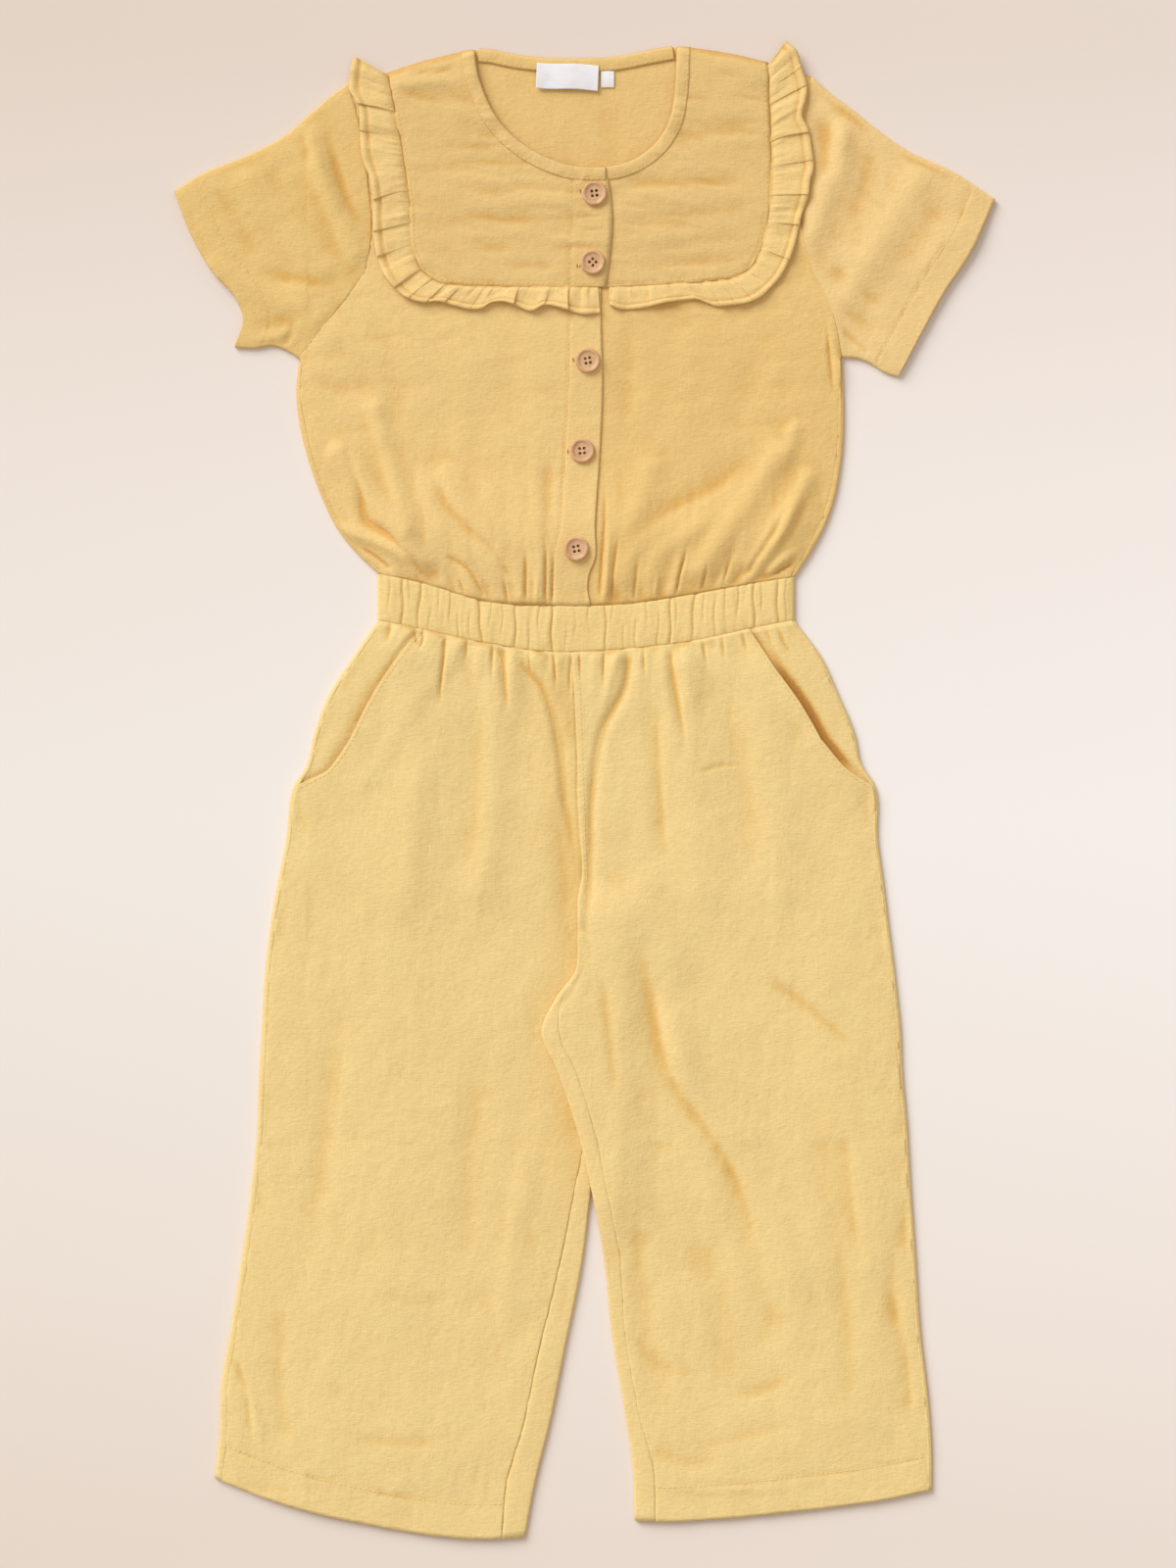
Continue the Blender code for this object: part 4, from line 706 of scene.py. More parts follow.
def past_waistband(points):
    """How far each point is above the waistband's top edge, and how far below its bottom edge."""
    x, y = points[..., 0], points[..., 1]
    return y - band_y("top", x), band_y("bottom", x) - y


def at_crossing(points):
    """1 at the crossing below the crotch, falling to 0 round it."""
    x, y = ((points[..., k] - CROTCH_CENTRE[k]) / CROTCH_HALF[k] for k in (0, 1))
    return np.exp(-(x**2) - y**4)


def ridge_rise(points, row):
    ridge = dict(zip(RIDGE_COLUMNS, row))
    across = to_line(points, ((ridge["x0"], ridge["y0"]), (ridge["x1"], ridge["y1"])))
    return ridge["height"] * bell(across, ridge["half_width"])


def gather_rise(points, gathers, away):
    """Rise of the gathers that run from a waist seam, at these distances from it."""
    total = np.zeros(points.shape[:-1])
    for row in gathers:
        gather = dict(zip(GATHER_COLUMNS, row))
        across = points[..., 0] - gather["x"] - gather["lean"] * away
        share = away / gather["reach"]
        width = gather["half_width"] * (1 + GATHER_SPREAD * share)
        total += gather["height"] * np.exp(-((across / width) ** 2) - share**1.5)
    return total


def from_band_ends(x):
    """Distance to the nearer end of the waistband."""
    return np.minimum(x - BAND_LEFT, BAND_RIGHT - x)


def band_rise(x):
    """Gathers of the waistband, uneven because the phase of the wave wanders."""
    phase = 2 * math.pi * BAND_WAVES * (x - BAND_LEFT) / (BAND_RIGHT - BAND_LEFT)
    under_placket = 1 - BAND_CALM["share"] * bell(x - BAND_CALM["x"], BAND_CALM["half_width"])
    wave = 0.5 + 0.5 * np.sin(phase + BAND_WANDER * np.sin(phase / BAND_WANDER_RUN))
    return BAND_WAVE_HEIGHT * ramp(from_band_ends(x), 0, BAND_END_RUN) * under_placket * wave


def upper(points):
    """Height of the upper layer's mid-surface at these plan points."""
    over_band, under_band = past_waistband(points)
    pressed = ramp(np.maximum(over_band, under_band), 0, PRESSED_RUN)
    ridges = sum(ridge_rise(points, ridge) for ridge in RIDGES) * (1 - at_crossing(points)) * pressed
    gathers = np.where(
        over_band > under_band,
        gather_rise(points, BODICE_GATHERS, np.maximum(over_band, 0)),
        gather_rise(points, LEG_GATHERS, np.maximum(under_band, 0)),
    )
    return TOP + ramp(fold_distance(points), 0, PUFF_RUN) * (PUFF + ridges + gathers)


def placket_stitch(points):
    """X of the placket's line of stitches, level with each point."""
    return np.interp(points[..., 1], STITCH_X["y"], STITCH_X["x"])


def placket_lap(points):
    """Extra rise of the left front over the right one."""
    stitch = placket_stitch(points)
    return PLACKET_LAP * ramp(points[..., 0], stitch - PLACKET_RAMP, stitch - PLACKET_EARLY)


def no_lap(points):
    return np.zeros(points.shape[:-1])


def on_shoulder(points, height):
    """Height near a shoulder, where the front comes down to lie just above the back."""
    near = np.minimum(to_line(points, SHOULDER_LEFT), to_line(points, SHOULDER_RIGHT))
    rest = FLOOR + WALL
    return rest + (height - rest) * ramp(near, *SHOULDER_RUN)


def crossing_lift(points):
    """Rise of the right leg where it lies over the left one."""
    start, full, last, end = (-y for y in CROSS_Y)
    down = -points[..., 1]
    across = 1 - ramp(points[..., 0], *CROSS_X)
    return CROSS_LIFT * across * ramp(down, start, full) * (1 - ramp(down, last, end))


# ----------------------------------------------------------- sections with folded edges
# A section is a list of (share of the row's width, height over the lower layer); the
# height is None on the upper layer, which has its own height everywhere.
ARC_STEPS = 8  # steps round a fold
STRIP_STEPS = 5  # steps from a fold to the seam in front of it


def fold_arc(width):
    """Round a fold, from the lower layer to the upper one."""
    angles = np.linspace(0, math.pi, ARC_STEPS + 1)
    return [(FOLD_R * (1 - math.sin(a)) / width, FOLD_R * (1 - math.cos(a))) for a in angles]


def folded_edge(width, seam):
    """From a seam on the upper layer round the fold and in under it."""
    on_top = max(seam - SEAM / 2, FOLD_R + LEAST_WRAP)
    strip = [(d / width, None) for d in np.linspace(on_top, FOLD_R, STRIP_STEPS + 1)[:-1]]
    return [*strip, *fold_arc(width)[::-1], ((FOLD_R + EDGE_RUN) / width, 0)]


def plain_edge(width):
    """A cut edge on the lower layer, with as many points as a folded one."""
    return [(d / width, 0) for d in np.linspace(0, FOLD_R + EDGE_RUN, ARC_STEPS + STRIP_STEPS + 2)]


def section(first, shares, last):
    """A whole row from its first edge to its last one, along the lower layer."""
    return first + [(share, 0) for share in shares] + [(1 - share, z) for share, z in reversed(last)]


def ring_section(width, shares):
    """A tube's row: over the top, round the last edge, back below and round the first edge."""
    arc = fold_arc(width)
    found = [(share, None) for share in shares] + [(1 - share, z) for share, z in reversed(arc)]
    found += [(share, 0) for share in reversed(shares)] + arc
    return found + found[:1]


def widths(grid):
    """The width of each row of a grid."""
    return np.linalg.norm(grid[:, -1] - grid[:, 0], axis=1)


# ------------------------------------------------------------- creases and crumples
BROAD = 5.0  # half the width from which a fold's whole hollow takes painted shade
BROAD_SHADE = 0.075  # how much painted shade it gets for each millimetre of such a hollow
CRISP = 2.6  # half the width up to which a crease is crisp
CRISP_WIDTH, SOFT_WIDTH = 0.6, 0.9  # shares of half the width that the bell of a crease takes
CREASE_REACH = 3  # half widths from its line, past which a crease is nothing
SHORT_FADES = 0.3  # a crease whose two fades are shorter than this keeps them as they are
BROAD_FADES = dict(least=0.08, gain=0.55)  # the other creases fade over a longer stretch
NARROW_FADES = dict(least=0.15, gain=0.8)
PAST_END = 0.001  # the fades end this far past the line's ends

LATTICE = 64  # points of the noise each way, before it repeats
LATTICE_START = 200.3  # keeps the places on the lattice above 0
# Layers of noise: height in millimetres, and size of its cells, one size or one each way.
CRUMPLES = ((0.55, 38), (0.24, (15, 19)), (0.09, (7, 8)), (0.05, 3.4))
WISPS = ((0.34, (34, 7.5)), (0.2, (20, 3.6)), (0.09, (12, 1.9)))
WISP_BEND, WISP_BEND_CELL = 3, 30  # how far they wander from straight
WISP_MEAN, WISP_SPREAD, WISP_PATCH = 0.65, 0.6, 26  # they are stronger in some patches than in others
PUCKERS = ((0.45, 2.6, 5.0), (0.8, 5.2, 13.0))  # height, size and reach from the waist seam
PUCKER_LEAN = 0.75  # of the puckers at the waistband's ends
SEAM_PUCKER, SEAM_PUCKER_SIZE, SEAM_PUCKER_REACH = 0.25, 4.2, 4  # small puckers along the seams

WAIST_LEVEL = 0.45  # height of the cloth at the waist seams, over a fold's
WAIST_UNEVEN = 0.25
WAIST_PULL = 0.97  # share of the way to that level
WAIST_RUN = 3.2
ARMHOLE_PULL = 0.9
ARMHOLE_RUN = 4.0
STITCH_UNEVEN = 0.5  # share of a stitch line's depth


def crease_fades(crease):
    """The shares of its line over which a crease fades in and out."""
    if crease["fade_in"] + crease["fade_out"] < SHORT_FADES:
        return crease["fade_in"], crease["fade_out"]
    longer = BROAD_FADES if crease["half_width"] >= BROAD else NARROW_FADES
    return [longer["least"] + longer["gain"] * crease[end] for end in ("fade_in", "fade_out")]


def crease_rise(points, row):
    """Rise or drop of one crease: soft on both sides, and faded at its ends."""
    crease = dict(zip(CREASE_COLUMNS, row))
    line = smooth(crease["line"])
    reach = CREASE_REACH * crease["half_width"] * (1 + abs(crease["skew"]))
    inside = ((points > line.min(axis=0) - reach) & (points < line.max(axis=0) + reach)).all(axis=-1)
    total = np.zeros(points.shape[:-1])
    if inside.any():
        across, share = beside(points[inside], line)
        width = (CRISP_WIDTH if crease["half_width"] < CRISP else SOFT_WIDTH) * crease["half_width"]
        width = width * np.where(across > 0, 1 - crease["skew"], 1 + crease["skew"])
        first, last = crease_fades(crease)
        fade = ramp(share, -PAST_END, first) * (1 - ramp(share, 1 - last, 1 + PAST_END))
        total[inside] = crease["height"] * fade * bell(across, width)
    return total


def creased(points, creases, start=0):
    """The start with the rise of all of these creases on top."""
    return sum((crease_rise(points, row) for row in creases), start)


def broad_hollows(points, creases):
    """How deep the broad soft folds are, without the narrow ones."""
    return np.maximum(-creased(points, [row for row in creases if row[1] >= BROAD]), 0)


def noise(points, cell, seed):
    """Smooth noise between -1 and 1 on a lattice of cells of this size. Every use has its own seed."""
    lattice = np.random.default_rng(seed).uniform(-1, 1, (LATTICE, LATTICE))
    place = points / np.array(cell, float) + LATTICE_START
    whole = np.floor(place).astype(int)
    part = place - whole
    part = part * part * (3 - 2 * part)
    i, j = whole[..., 0] % (LATTICE - 1), whole[..., 1] % (LATTICE - 1)
    u, v = part[..., 0], part[..., 1]
    low_row = lattice[i, j] * (1 - u) + lattice[i + 1, j] * u
    high_row = lattice[i, j + 1] * (1 - u) + lattice[i + 1, j + 1] * u
    return low_row * (1 - v) + high_row * v


def patches(points, cell, seed):
    """Smooth noise between 0 and 1."""
    return 0.5 + 0.5 * noise(points, cell, seed)


def layered(points, layers, seed):
    """Layers of noise on top of one another, with seeds that follow on."""
    return sum(height * noise(points, cell, seed + k) for k, (height, cell) in enumerate(layers))


def crumple(points, seed):
    """Unevenness of cloth that has been worn and washed."""
    return layered(points, CRUMPLES, seed)


def wisps(points, turn, seed):
    """Thin soft creases that all lie one way, at this many degrees to the X axis."""
    angle = math.radians(turn)
    run = points[..., 0] * math.cos(angle) + points[..., 1] * math.sin(angle)
    across = points[..., 1] * math.cos(angle) - points[..., 0] * math.sin(angle)
    bent = np.stack([run, across + WISP_BEND * noise(points, WISP_BEND_CELL, seed)], axis=-1)
    return layered(bent, WISPS, seed + 1) * (WISP_MEAN + WISP_SPREAD * noise(points, WISP_PATCH, seed + 4))


def puckers(points, away, seed):
    """Small gathers that run a short way from a waist seam and spread outwards."""
    across = points[..., 0] - PUCKER_LEAN * points[..., 0] / BAND_RIGHT * away
    along_seam = np.stack([across, np.zeros_like(across)], axis=-1)
    rows = [
        height * (noise(along_seam, cell, seed + k) * np.exp(-((away / reach) ** 1.3)))
        for k, (height, cell, reach) in enumerate(PUCKERS)
    ]
    return sum(rows)


def from_waistband(points):
    """Distance of each point to the waistband, which is 0 on it."""
    return np.maximum(np.maximum(*past_waistband(points)), 0)


def relief(points, creases, seed):
    """The whole relief of the upper layer over its plain form."""
    total = creased(points, creases, crumple(points, seed))
    return total + puckers(points, from_waistband(points), seed + 20)


def seam_dip(points, lines, drop=SEAM_DROP):
    """How far the cloth turns down at its seams, with small puckers along them."""
    near = np.min([to_line(points, line) for line in lines], axis=0)
    pucker = SEAM_PUCKER * noise(points, SEAM_PUCKER_SIZE, 77) * np.exp(-near / SEAM_PUCKER_REACH)
    return pucker - drop * bell(near, SEAM_WIDTH)


def level_at_armhole(points, height, line):
    """The height, brought to that of the plain form where a sleeve is sewn in."""
    near = to_line(points, line)
    return height + (upper(points) - height) * ARMHOLE_PULL * bell(near, ARMHOLE_RUN)


def level_at_waist(points, height):
    """The height, brought down to the waistband's edge along the waist seams."""
    level = TOP + WAIST_LEVEL + WAIST_UNEVEN * noise(points, 5, 78)
    return height + (level - height) * WAIST_PULL * bell(from_waistband(points), WAIST_RUN)


def stitch_dip(points, lines):
    """A line of stitches pulls the cloth in, a little unevenly."""
    depth = STITCH_SINK * (1 + STITCH_UNEVEN * noise(points, 4, 5))
    near = np.min([to_line(points, line) for line in lines], axis=0)
    return -depth * bell(near, STITCH_WIDTH)


# ------------------------------------------------------------------------ the shells
FOLD_LEAST, FOLD_DEEP = 0.1, 1.1  # hollows between these depths take painted shade, as a shaded fold would look
PAINTED_FOLD_SHADE = 0.5  # painted shade of such a hollow at its deepest
HOLLOWS = ((1.3, 8), (0.5, 30))  # weights of the depths below the heights softened so many times
MEAN_PARTS = (0.25, 0.5, 0.25)  # shares of a value and its neighbours in their mean


def softened(values, passes):
    """Values of a grid, each replaced again and again by the mean of itself and its neighbours."""
    for _ in range(passes):
        for axis in (0, 1):
            wide = np.concatenate([values.take([0], axis), values, values.take([-1], axis)], axis)
            size = values.shape[axis]
            values = sum(wide.take(np.arange(k, k + size), axis) * part for k, part in enumerate(MEAN_PARTS))
    return values


def painted_crease_shade(points):
    """Painted shade in hollows: how deep each point lies under the cloth round it, 0 to 1; narrow hollows
    count more.
    """
    height = points[..., 2]
    hollow = sum(weight * (softened(height, passes) - height) for weight, passes in HOLLOWS)
    return PAINTED_FOLD_SHADE * np.clip((hollow - FOLD_LEAST) / (FOLD_DEEP - FOLD_LEAST), 0, 1)


def placed(name, data):
    """A new object in the scene."""
    made = bpy.data.objects.new(name, data)
    bpy.context.scene.collection.objects.link(made)
    return made


def dressed(made, finish):
    """The object with its finish, as a part of the garment."""
    made.data.materials.append(finish)
    made.data.shade_smooth()
    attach(made, "root")
    return made


def shell(name, points, finish, ring=False, thickness=CLOTH, deeper=0.0):
    """A thin shell whose mid-surface is a grid of points, in millimetres."""
    if ring:
        points = points[:, :-1]
    index = np.arange(points.shape[0] * points.shape[1]).reshape(points.shape[:2])
    if ring:
        index = np.hstack([index, index[:, :1]])
    quads = np.stack([index[:-1, :-1], index[:-1, 1:], index[1:, 1:], index[1:, :-1]], axis=-1)
    mesh = bpy.data.meshes.new(name + "_look")
    mesh.from_pydata((points.reshape(-1, 3) * MM).tolist(), [], quads.reshape(-1, 4).tolist())
    # painted shade: the hollows' depth and any shade given here go into the colour through the fold attribute
    depth = np.clip(painted_crease_shade(points) + deeper, 0, 1).reshape(-1).astype(np.float32)
    mesh.attributes.new("fold", "FLOAT", "POINT").data.foreach_set("value", depth)
    made = dressed(placed(name + "_look", mesh), finish)
    wall = made.modifiers.new("wall", "SOLIDIFY")
    wall.thickness = thickness * MM
    wall.offset = 0
    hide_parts(name)
    return made


def lifted(plan, height):
    """Plan points with their heights."""
    return np.concatenate([plan, height[..., None]], axis=-1)


def along_row(row, shares):
    """Plan points at shares of the way along a row of a grid, and straight on past its ends."""
    shares = np.array(shares, float)
    past = np.minimum(shares, 0) + np.maximum(shares - 1, 0)
    return picked(row, np.linspace(0, 1, len(row)), shares) + past[:, None] * (row[-1] - row[0])


UNDER = 0.4  # the back runs in under the front at the side seams, this far down
FOLD_TUCK = 0.1  # a fold's arc is this much lower than the solid's
LOWER_RISE_RUN = (3, 14)  # the lower layer's own unevenness starts and is whole this far from a fold


def from_sections(name, grid, sections, surface, finish, ring=False):
    """A piece from a plan grid, a section for each of its rows, and its upper layer's height."""
    plan = np.array([along_row(row, [share for share, _ in line]) for row, line in zip(grid, sections)])
    over = np.array([[np.nan if z is None else z for _, z in line] for line in sections])
    raised, lift = surface(plan)
    if not ring:
        raised[:, [0, -1]] -= UNDER
    uneven = 0.5 * patches(plan, (22, 30), 91) + 0.3 * patches(plan, 9, 92)
    flat = FLOOR - (WALL - CLOTH) / 2 + uneven * ramp(fold_distance(plan), *LOWER_RISE_RUN)
    round_fold = np.nan_to_num(over) * (FOLD_R * 2 - FOLD_TUCK) / (FOLD_R * 2)
    height = np.where(np.isnan(over), raised, flat + round_fold + lift)
    return shell(name, lifted(plan, height), finish, ring)


def stay_above(height, least=LEAST_HEIGHT, sharpness=4):
    """The height, eased so that it stays over the least one."""
    return least + np.logaddexp(0, (height - least) * sharpness) / sharpness


# ----------------------------------------------------------------- surface heights
BLOUSE_FAN = (150, 250)  # the bodice's thin creases stand upright below and lie level above
SLEEVE_PRESSED, LEG_PRESSED = 5, 6  # the relief starts at a fold and is whole this far from it
CROSSING_CALM = 0.35  # share of the relief that is left at the crossing


def bodice_surface(points):
    low_part = 1 - ramp(points[..., 1], *BLOUSE_FAN)
    fanned = wisps(points, 90, 101) * low_part + 0.8 * wisps(points, 8, 111) * (1 - low_part)
    return stay_above(upper(points) + relief(points, BODICE_CREASES, 1) + fanned)


def yoke_surface(points):
    uneven = 0.7 * crumple(points, 31)
    return stay_above(upper(points) + uneven + 1.7 * wisps(points, -4, 121) + creased(points, YOKE_CREASES))


def sleeve_surface(points):
    rise = crumple(points, 41) + creased(points, SLEEVE_CREASES)
    left = points[..., 0] < 0
    rise = rise + 0.6 * np.where(left, wisps(points, 28, 131), wisps(points, -42, 141))
    return stay_above(upper(points) + ramp(fold_distance(points), 0, SLEEVE_PRESSED) * rise)


def trouser_surface(points):
    pressed = ramp(fold_distance(points), 0, LEG_PRESSED)
    creases = relief(points, TROUSER_CREASES, 51) + 0.45 * wisps(points, 84, 151)
    calm = CROSSING_CALM + (1 - CROSSING_CALM) * (1 - at_crossing(points))
    return stay_above(upper(points) + pressed * creases * calm)


# --------------------------------------------------------------------------- bodice
FRONT_ROWS = dict(side=84, fan=26, strip=28)
FRONT_COLUMNS = 150
BACK_ROWS = dict(side=48, fan=16, strip=20)
BACK_COLUMNS = 60
SIDE_DROP = 0.14  # the side seams and armholes turn down less than other seams
UNDERARM_START = 0.7  # share of the side seam from which it runs back to the fold
PLACKET_THICKER, PLACKET_ROLL_RUN = 0.2, 1.5  # the placket's own thickness, and the run it starts over
FRONT_SHADE = 0.6  # share of the painted shade that the trousers' broad folds have


def armhole(points, gap, rows):
    """Armhole points, matched to the rows beside the yoke's corner and strip, moved by the gap."""
    low_part = spaced(points[: ARM_TURN + 1], rows["fan"])
    high_part = spaced(points[ARM_TURN:], rows["strip"])
    return moved(np.vstack([low_part, high_part[1:]]), gap)


def side_seam_inset(rows):
    """How far in from the side fold the seam runs, on each row up to the underarm."""
    return SIDE_SEAM * (1 - ramp(np.linspace(0, 1, rows + 1), UNDERARM_START, 1.0)) + FOLD_R


def placket_lines():
    return [np.stack([STITCH_X["x"], STITCH_X["y"]], axis=1)]


def placket_roll(points):
    """The placket is a little thicker than the front."""
    stitch = placket_stitch(points)
    return PLACKET_THICKER * ramp(points[..., 0], stitch, stitch + PLACKET_ROLL_RUN)


def front(name, side, arm, edge, yoke, inward, lap, free_edge, finish):
    """One front: from the side seam to the centre, and up between armhole and yoke."""
    seam = spaced(side, FRONT_ROWS["side"])
    seam[:, 0] += inward * (side_seam_inset(FRONT_ROWS["side"]) + SEAM / 2)
    outer = np.vstack([seam[:-1], armhole(arm, -inward * SEAM / 2, FRONT_ROWS)])
    centre = spaced(edge, FRONT_ROWS["side"])
    fan = spaced(yoke[: YOKE_TURN + 1], FRONT_ROWS["fan"])
    strip = spaced(yoke[YOKE_TURN:], FRONT_ROWS["strip"])
    inner = np.vstack([centre, fan[1:], strip[1:]])
    base = waist_edge("top", seam[0][0], centre[0][0], FRONT_COLUMNS, WAIST_GAP)
    outer[0], inner[0] = base[0], base[-1]
    crest = spaced((outer[-1], inner[-1]), FRONT_COLUMNS, curved=False)
    plan = coons(outer, inner, base, crest)
    sewn = seam_dip(plan, [np.vstack([fan, strip[1:]])]) + seam_dip(plan, [outer], SIDE_DROP)
    height = level_at_armhole(plan, level_at_waist(plan, bodice_surface(plan)), arm) + lap(plan) + sewn
    if free_edge:
        height += placket_roll(plan) + stitch_dip(plan, placket_lines())
    # painted shade in the blouse's broad folds
    shaded = FRONT_SHADE * BROAD_SHADE * broad_hollows(plan, BODICE_CREASES)
    made = shell(name, lifted(plan, on_shoulder(plan, height)), finish, deeper=shaded)
    if free_edge:
        stitches(made, placket_lines(), seam_thread)
    return made


def back_panel():
    """The whole back of the bodice, wrapped round both side folds up to the underarms."""
    side_rows = BACK_ROWS["side"]
    left = np.vstack([spaced(SIDE_LEFT, side_rows)[:-1], armhole(ARMHOLE_LEFT, 0, BACK_ROWS)])
    right = np.vstack([spaced(SIDE_RIGHT, side_rows)[:-1], armhole(ARMHOLE_RIGHT, 0, BACK_ROWS)])
    base = waist_edge("top", left[0][0], right[0][0], BACK_COLUMNS, WAIST_GAP)
    left[0], right[0] = base[0], base[-1]
    ridge = np.vstack([left[-1:], SHOULDER_LEFT[1:], BACK_NECK[1:], SHOULDER_RIGHT[-2:0:-1], right[-1:]])
    grid = coons(left, right, base, spaced(ridge, BACK_COLUMNS, curved=False))
    inset = side_seam_inset(side_rows)
    sections = []
    for i, width in enumerate(widths(grid)):
        edge = folded_edge(width, inset[i]) if i < side_rows else plain_edge(width)
        shown = np.linspace(edge[-1][0], 1 - edge[-1][0], BACK_COLUMNS + 1)[1:-1]
        sections.append(section(edge, shown, edge))

    def surface(plan):
        return bodice_surface(plan), 0

    return from_sections("back_bodice", grid, sections, surface, tone["inside"])


YOKE_ROWS, YOKE_COLUMNS = 64, 78
YOKE_OVER = 26  # of its columns, those along the shoulder
YOKE_EDGE_DROP = 1.6  # the yoke's edge turns down to the ruffle by this many seam drops
YOKE_STITCHED = 2.2  # its edge is stitched this far in


def yoke_panel(name, shoulder, neck, seam, edge, lap, free_edge):
    """Half of the yoke: shoulder and neckline above, the ruffled seam below."""
    turn = spaced(seam[YOKE_TURN:], YOKE_ROWS)
    base = spaced(seam[: YOKE_TURN + 1], YOKE_COLUMNS)[::-1]
    base[-1] = edge[0]
    over_shoulder = spaced((seam[-1], *shoulder[-2:]), YOKE_OVER)
    crest = np.vstack([over_shoulder[:-1], spaced(neck, YOKE_COLUMNS - YOKE_OVER)])
    crest[0] = turn[-1]
    centre = spaced(edge, YOKE_ROWS)
    centre[-1] = crest[-1]
    plan = coons(turn, centre, base, crest)
    height = yoke_surface(plan) + LAP + lap(plan) + YOKE_EDGE_DROP * seam_dip(plan, [turn, base])
    topstitch = moved(np.vstack([turn[::-1], base[1:]]), YOKE_STITCHED * np.sign(edge[0][0]))
    height += stitch_dip(plan, [topstitch])
    if free_edge:
        height += placket_roll(plan) + stitch_dip(plan, placket_lines())
    made = shell(name, lifted(plan, on_shoulder(plan, height)), tone["yoke"])
    stitches(made, [topstitch, *placket_lines()] if free_edge else [topstitch], seam_thread)
    return made


def strip_on(line, width, shares):
    """A strip of plan points along a line and the same line moved to its left."""
    share = np.array(shares)[None, :, None]
    return line[:, None] * (1 - share) + moved(line, width)[:, None] * share


BINDING_STEPS = 150  # along each stretch of binding
BINDING_SHARES = (-0.07, 0, 0.08, 0.2, 0.35, 0.5, 0.65, 0.78, 0.86, 0.93, 1)
BINDING_PROFILE = (-0.9, 0.05, 0.35, 0.5, 0.55, 0.53, 0.45, 0.25, 0.12, 0.12, -0.3)  # height at these shares
BINDING_STITCHED = 8  # the column of the binding that is stitched down
BINDING_ON_YOKE = 0.52  # height over the yoke
BINDING_ON_BACK = 0.2  # height over the back
BINDING_TUCK = (10, 17)  # between these places the right binding is pressed flat under the left one
BINDING_TUCKED = 0.75  # its height over the yoke there
BINDING_RIGHT_END = 12.8 / 14  # share of the right neckline where its binding ends, under the left one


def binding_relief(plan):
    return np.array(BINDING_PROFILE) + 0.12 * noise(plan, 3.4, 61) + 0.16 * noise(plan, 8, 62)


def bound(name, plan, height, finish):
    """A strip of binding of this height, with its row of stitches."""
    made = shell(name, lifted(plan, height), finish, thickness=FINE_CLOTH)
    stitches(made, [plan[:, BINDING_STITCHED]], seam_thread)


def binding(name, neck, width, lap, share):
    """Bias binding on top of the yoke's neckline, along this share of it."""
    line = spaced(neck, BINDING_STEPS)[: round(BINDING_STEPS * share) + 1]
    plan = strip_on(line, width, BINDING_SHARES)
    over_yoke = BINDING_ON_YOKE + binding_relief(plan)
    if share < 1:
        over_yoke = BINDING_TUCKED + (over_yoke - BINDING_TUCKED) * ramp(plan[..., 0], *BINDING_TUCK)
    height = on_shoulder(plan, yoke_surface(plan) + LAP + lap(plan)) + over_yoke
    bound(name, plan, height, tone["yoke"])


def back_binding():
    """Bias binding along the back's neckline, between the shoulders."""
    plan = strip_on(spaced(BACK_NECK, BINDING_STEPS)[4:-4], -BINDING_WIDTH, BINDING_SHARES)
    bound("neck_binding_back", plan, FLOOR + LAP + BINDING_ON_BACK + binding_relief(plan), tone["inside"])


# -------------------------------------------------------------------------- ruffles
RUFFLE_STEPS = 540  # along a ruffle
ROOT_TUCK = 1.7  # the ruffle's root runs in under the yoke's edge
STRIP_WIDTH = 9  # of the strip, on the lattice of its gathers' noise
LAP_GROWTH = 1.3  # a fold's lap grows towards the hem by this power
LAP_ROOT, LAP_ROOT_WIDTH, LAP_ROOT_HEIGHT = 0.12, 0.45, 0.25  # shares of a fold's lap and sizes at the root
LAP_STEEP, LAP_REACH = 1.7, 2.6  # of the step that a fold makes over the next one
BEAD_HEIGHT, GROOVE_DEPTH = 0.75, 0.6  # of the rolled hem, and of the groove in front of it
GROOVE_BEFORE, GROOVE_WIDTH = 0.02, 0.035  # shares of the ruffle's width


def lapped(place, share, laps):
    """Shift along the ruffle and height of its cloth, where folds lap over one another."""
    shift, pile = 0 * place * share, 0 * place * share
    for row in laps:
        fold = dict(zip(LAP_COLUMNS, row))
        u = (place - fold["place"]) / (fold["half_width"] * (LAP_ROOT_WIDTH + (1 - LAP_ROOT_WIDTH) * share))
        grow = LAP_ROOT + (1 - LAP_ROOT) * share**LAP_GROWTH
        shift -= fold["over"] * grow * u * np.exp(-u * u)
        higher = LAP_ROOT_HEIGHT + (1 - LAP_ROOT_HEIGHT) * share
        step = 0.5 - 0.5 * np.tanh(LAP_STEEP * u)
        pile += 0.7 * fold["height"] * higher * step * bell(u, LAP_REACH)
    return shift, pile


def ruffle_gathers(place, share):
    """Fine gathers at a ruffle's root, and broader ones towards its hem."""
    strip = np.stack([place + 0 * share, STRIP_WIDTH * share + 0 * place], axis=-1)
    at_root = noise(strip, (1.6, 9), 71) * np.exp(-share / 0.28) * 0.95
    lower = noise(strip, (3, 9), 72) * (1 - share) * 0.7
    return at_root + lower + 0.55 * noise(strip, (9, 12), 73) + 0.25 * noise(strip, (4, 3), 74)


def rolled_hem(share):
    """The bead along a ruffle's free edge, and the groove in front of it."""
    bead = np.sin(math.pi * np.clip((share - HEM_BEAD) / (1 - HEM_BEAD), 0, 1))
    return BEAD_HEIGHT * bead - GROOVE_DEPTH * bell(share - HEM_BEAD + GROOVE_BEFORE, GROOVE_WIDTH)


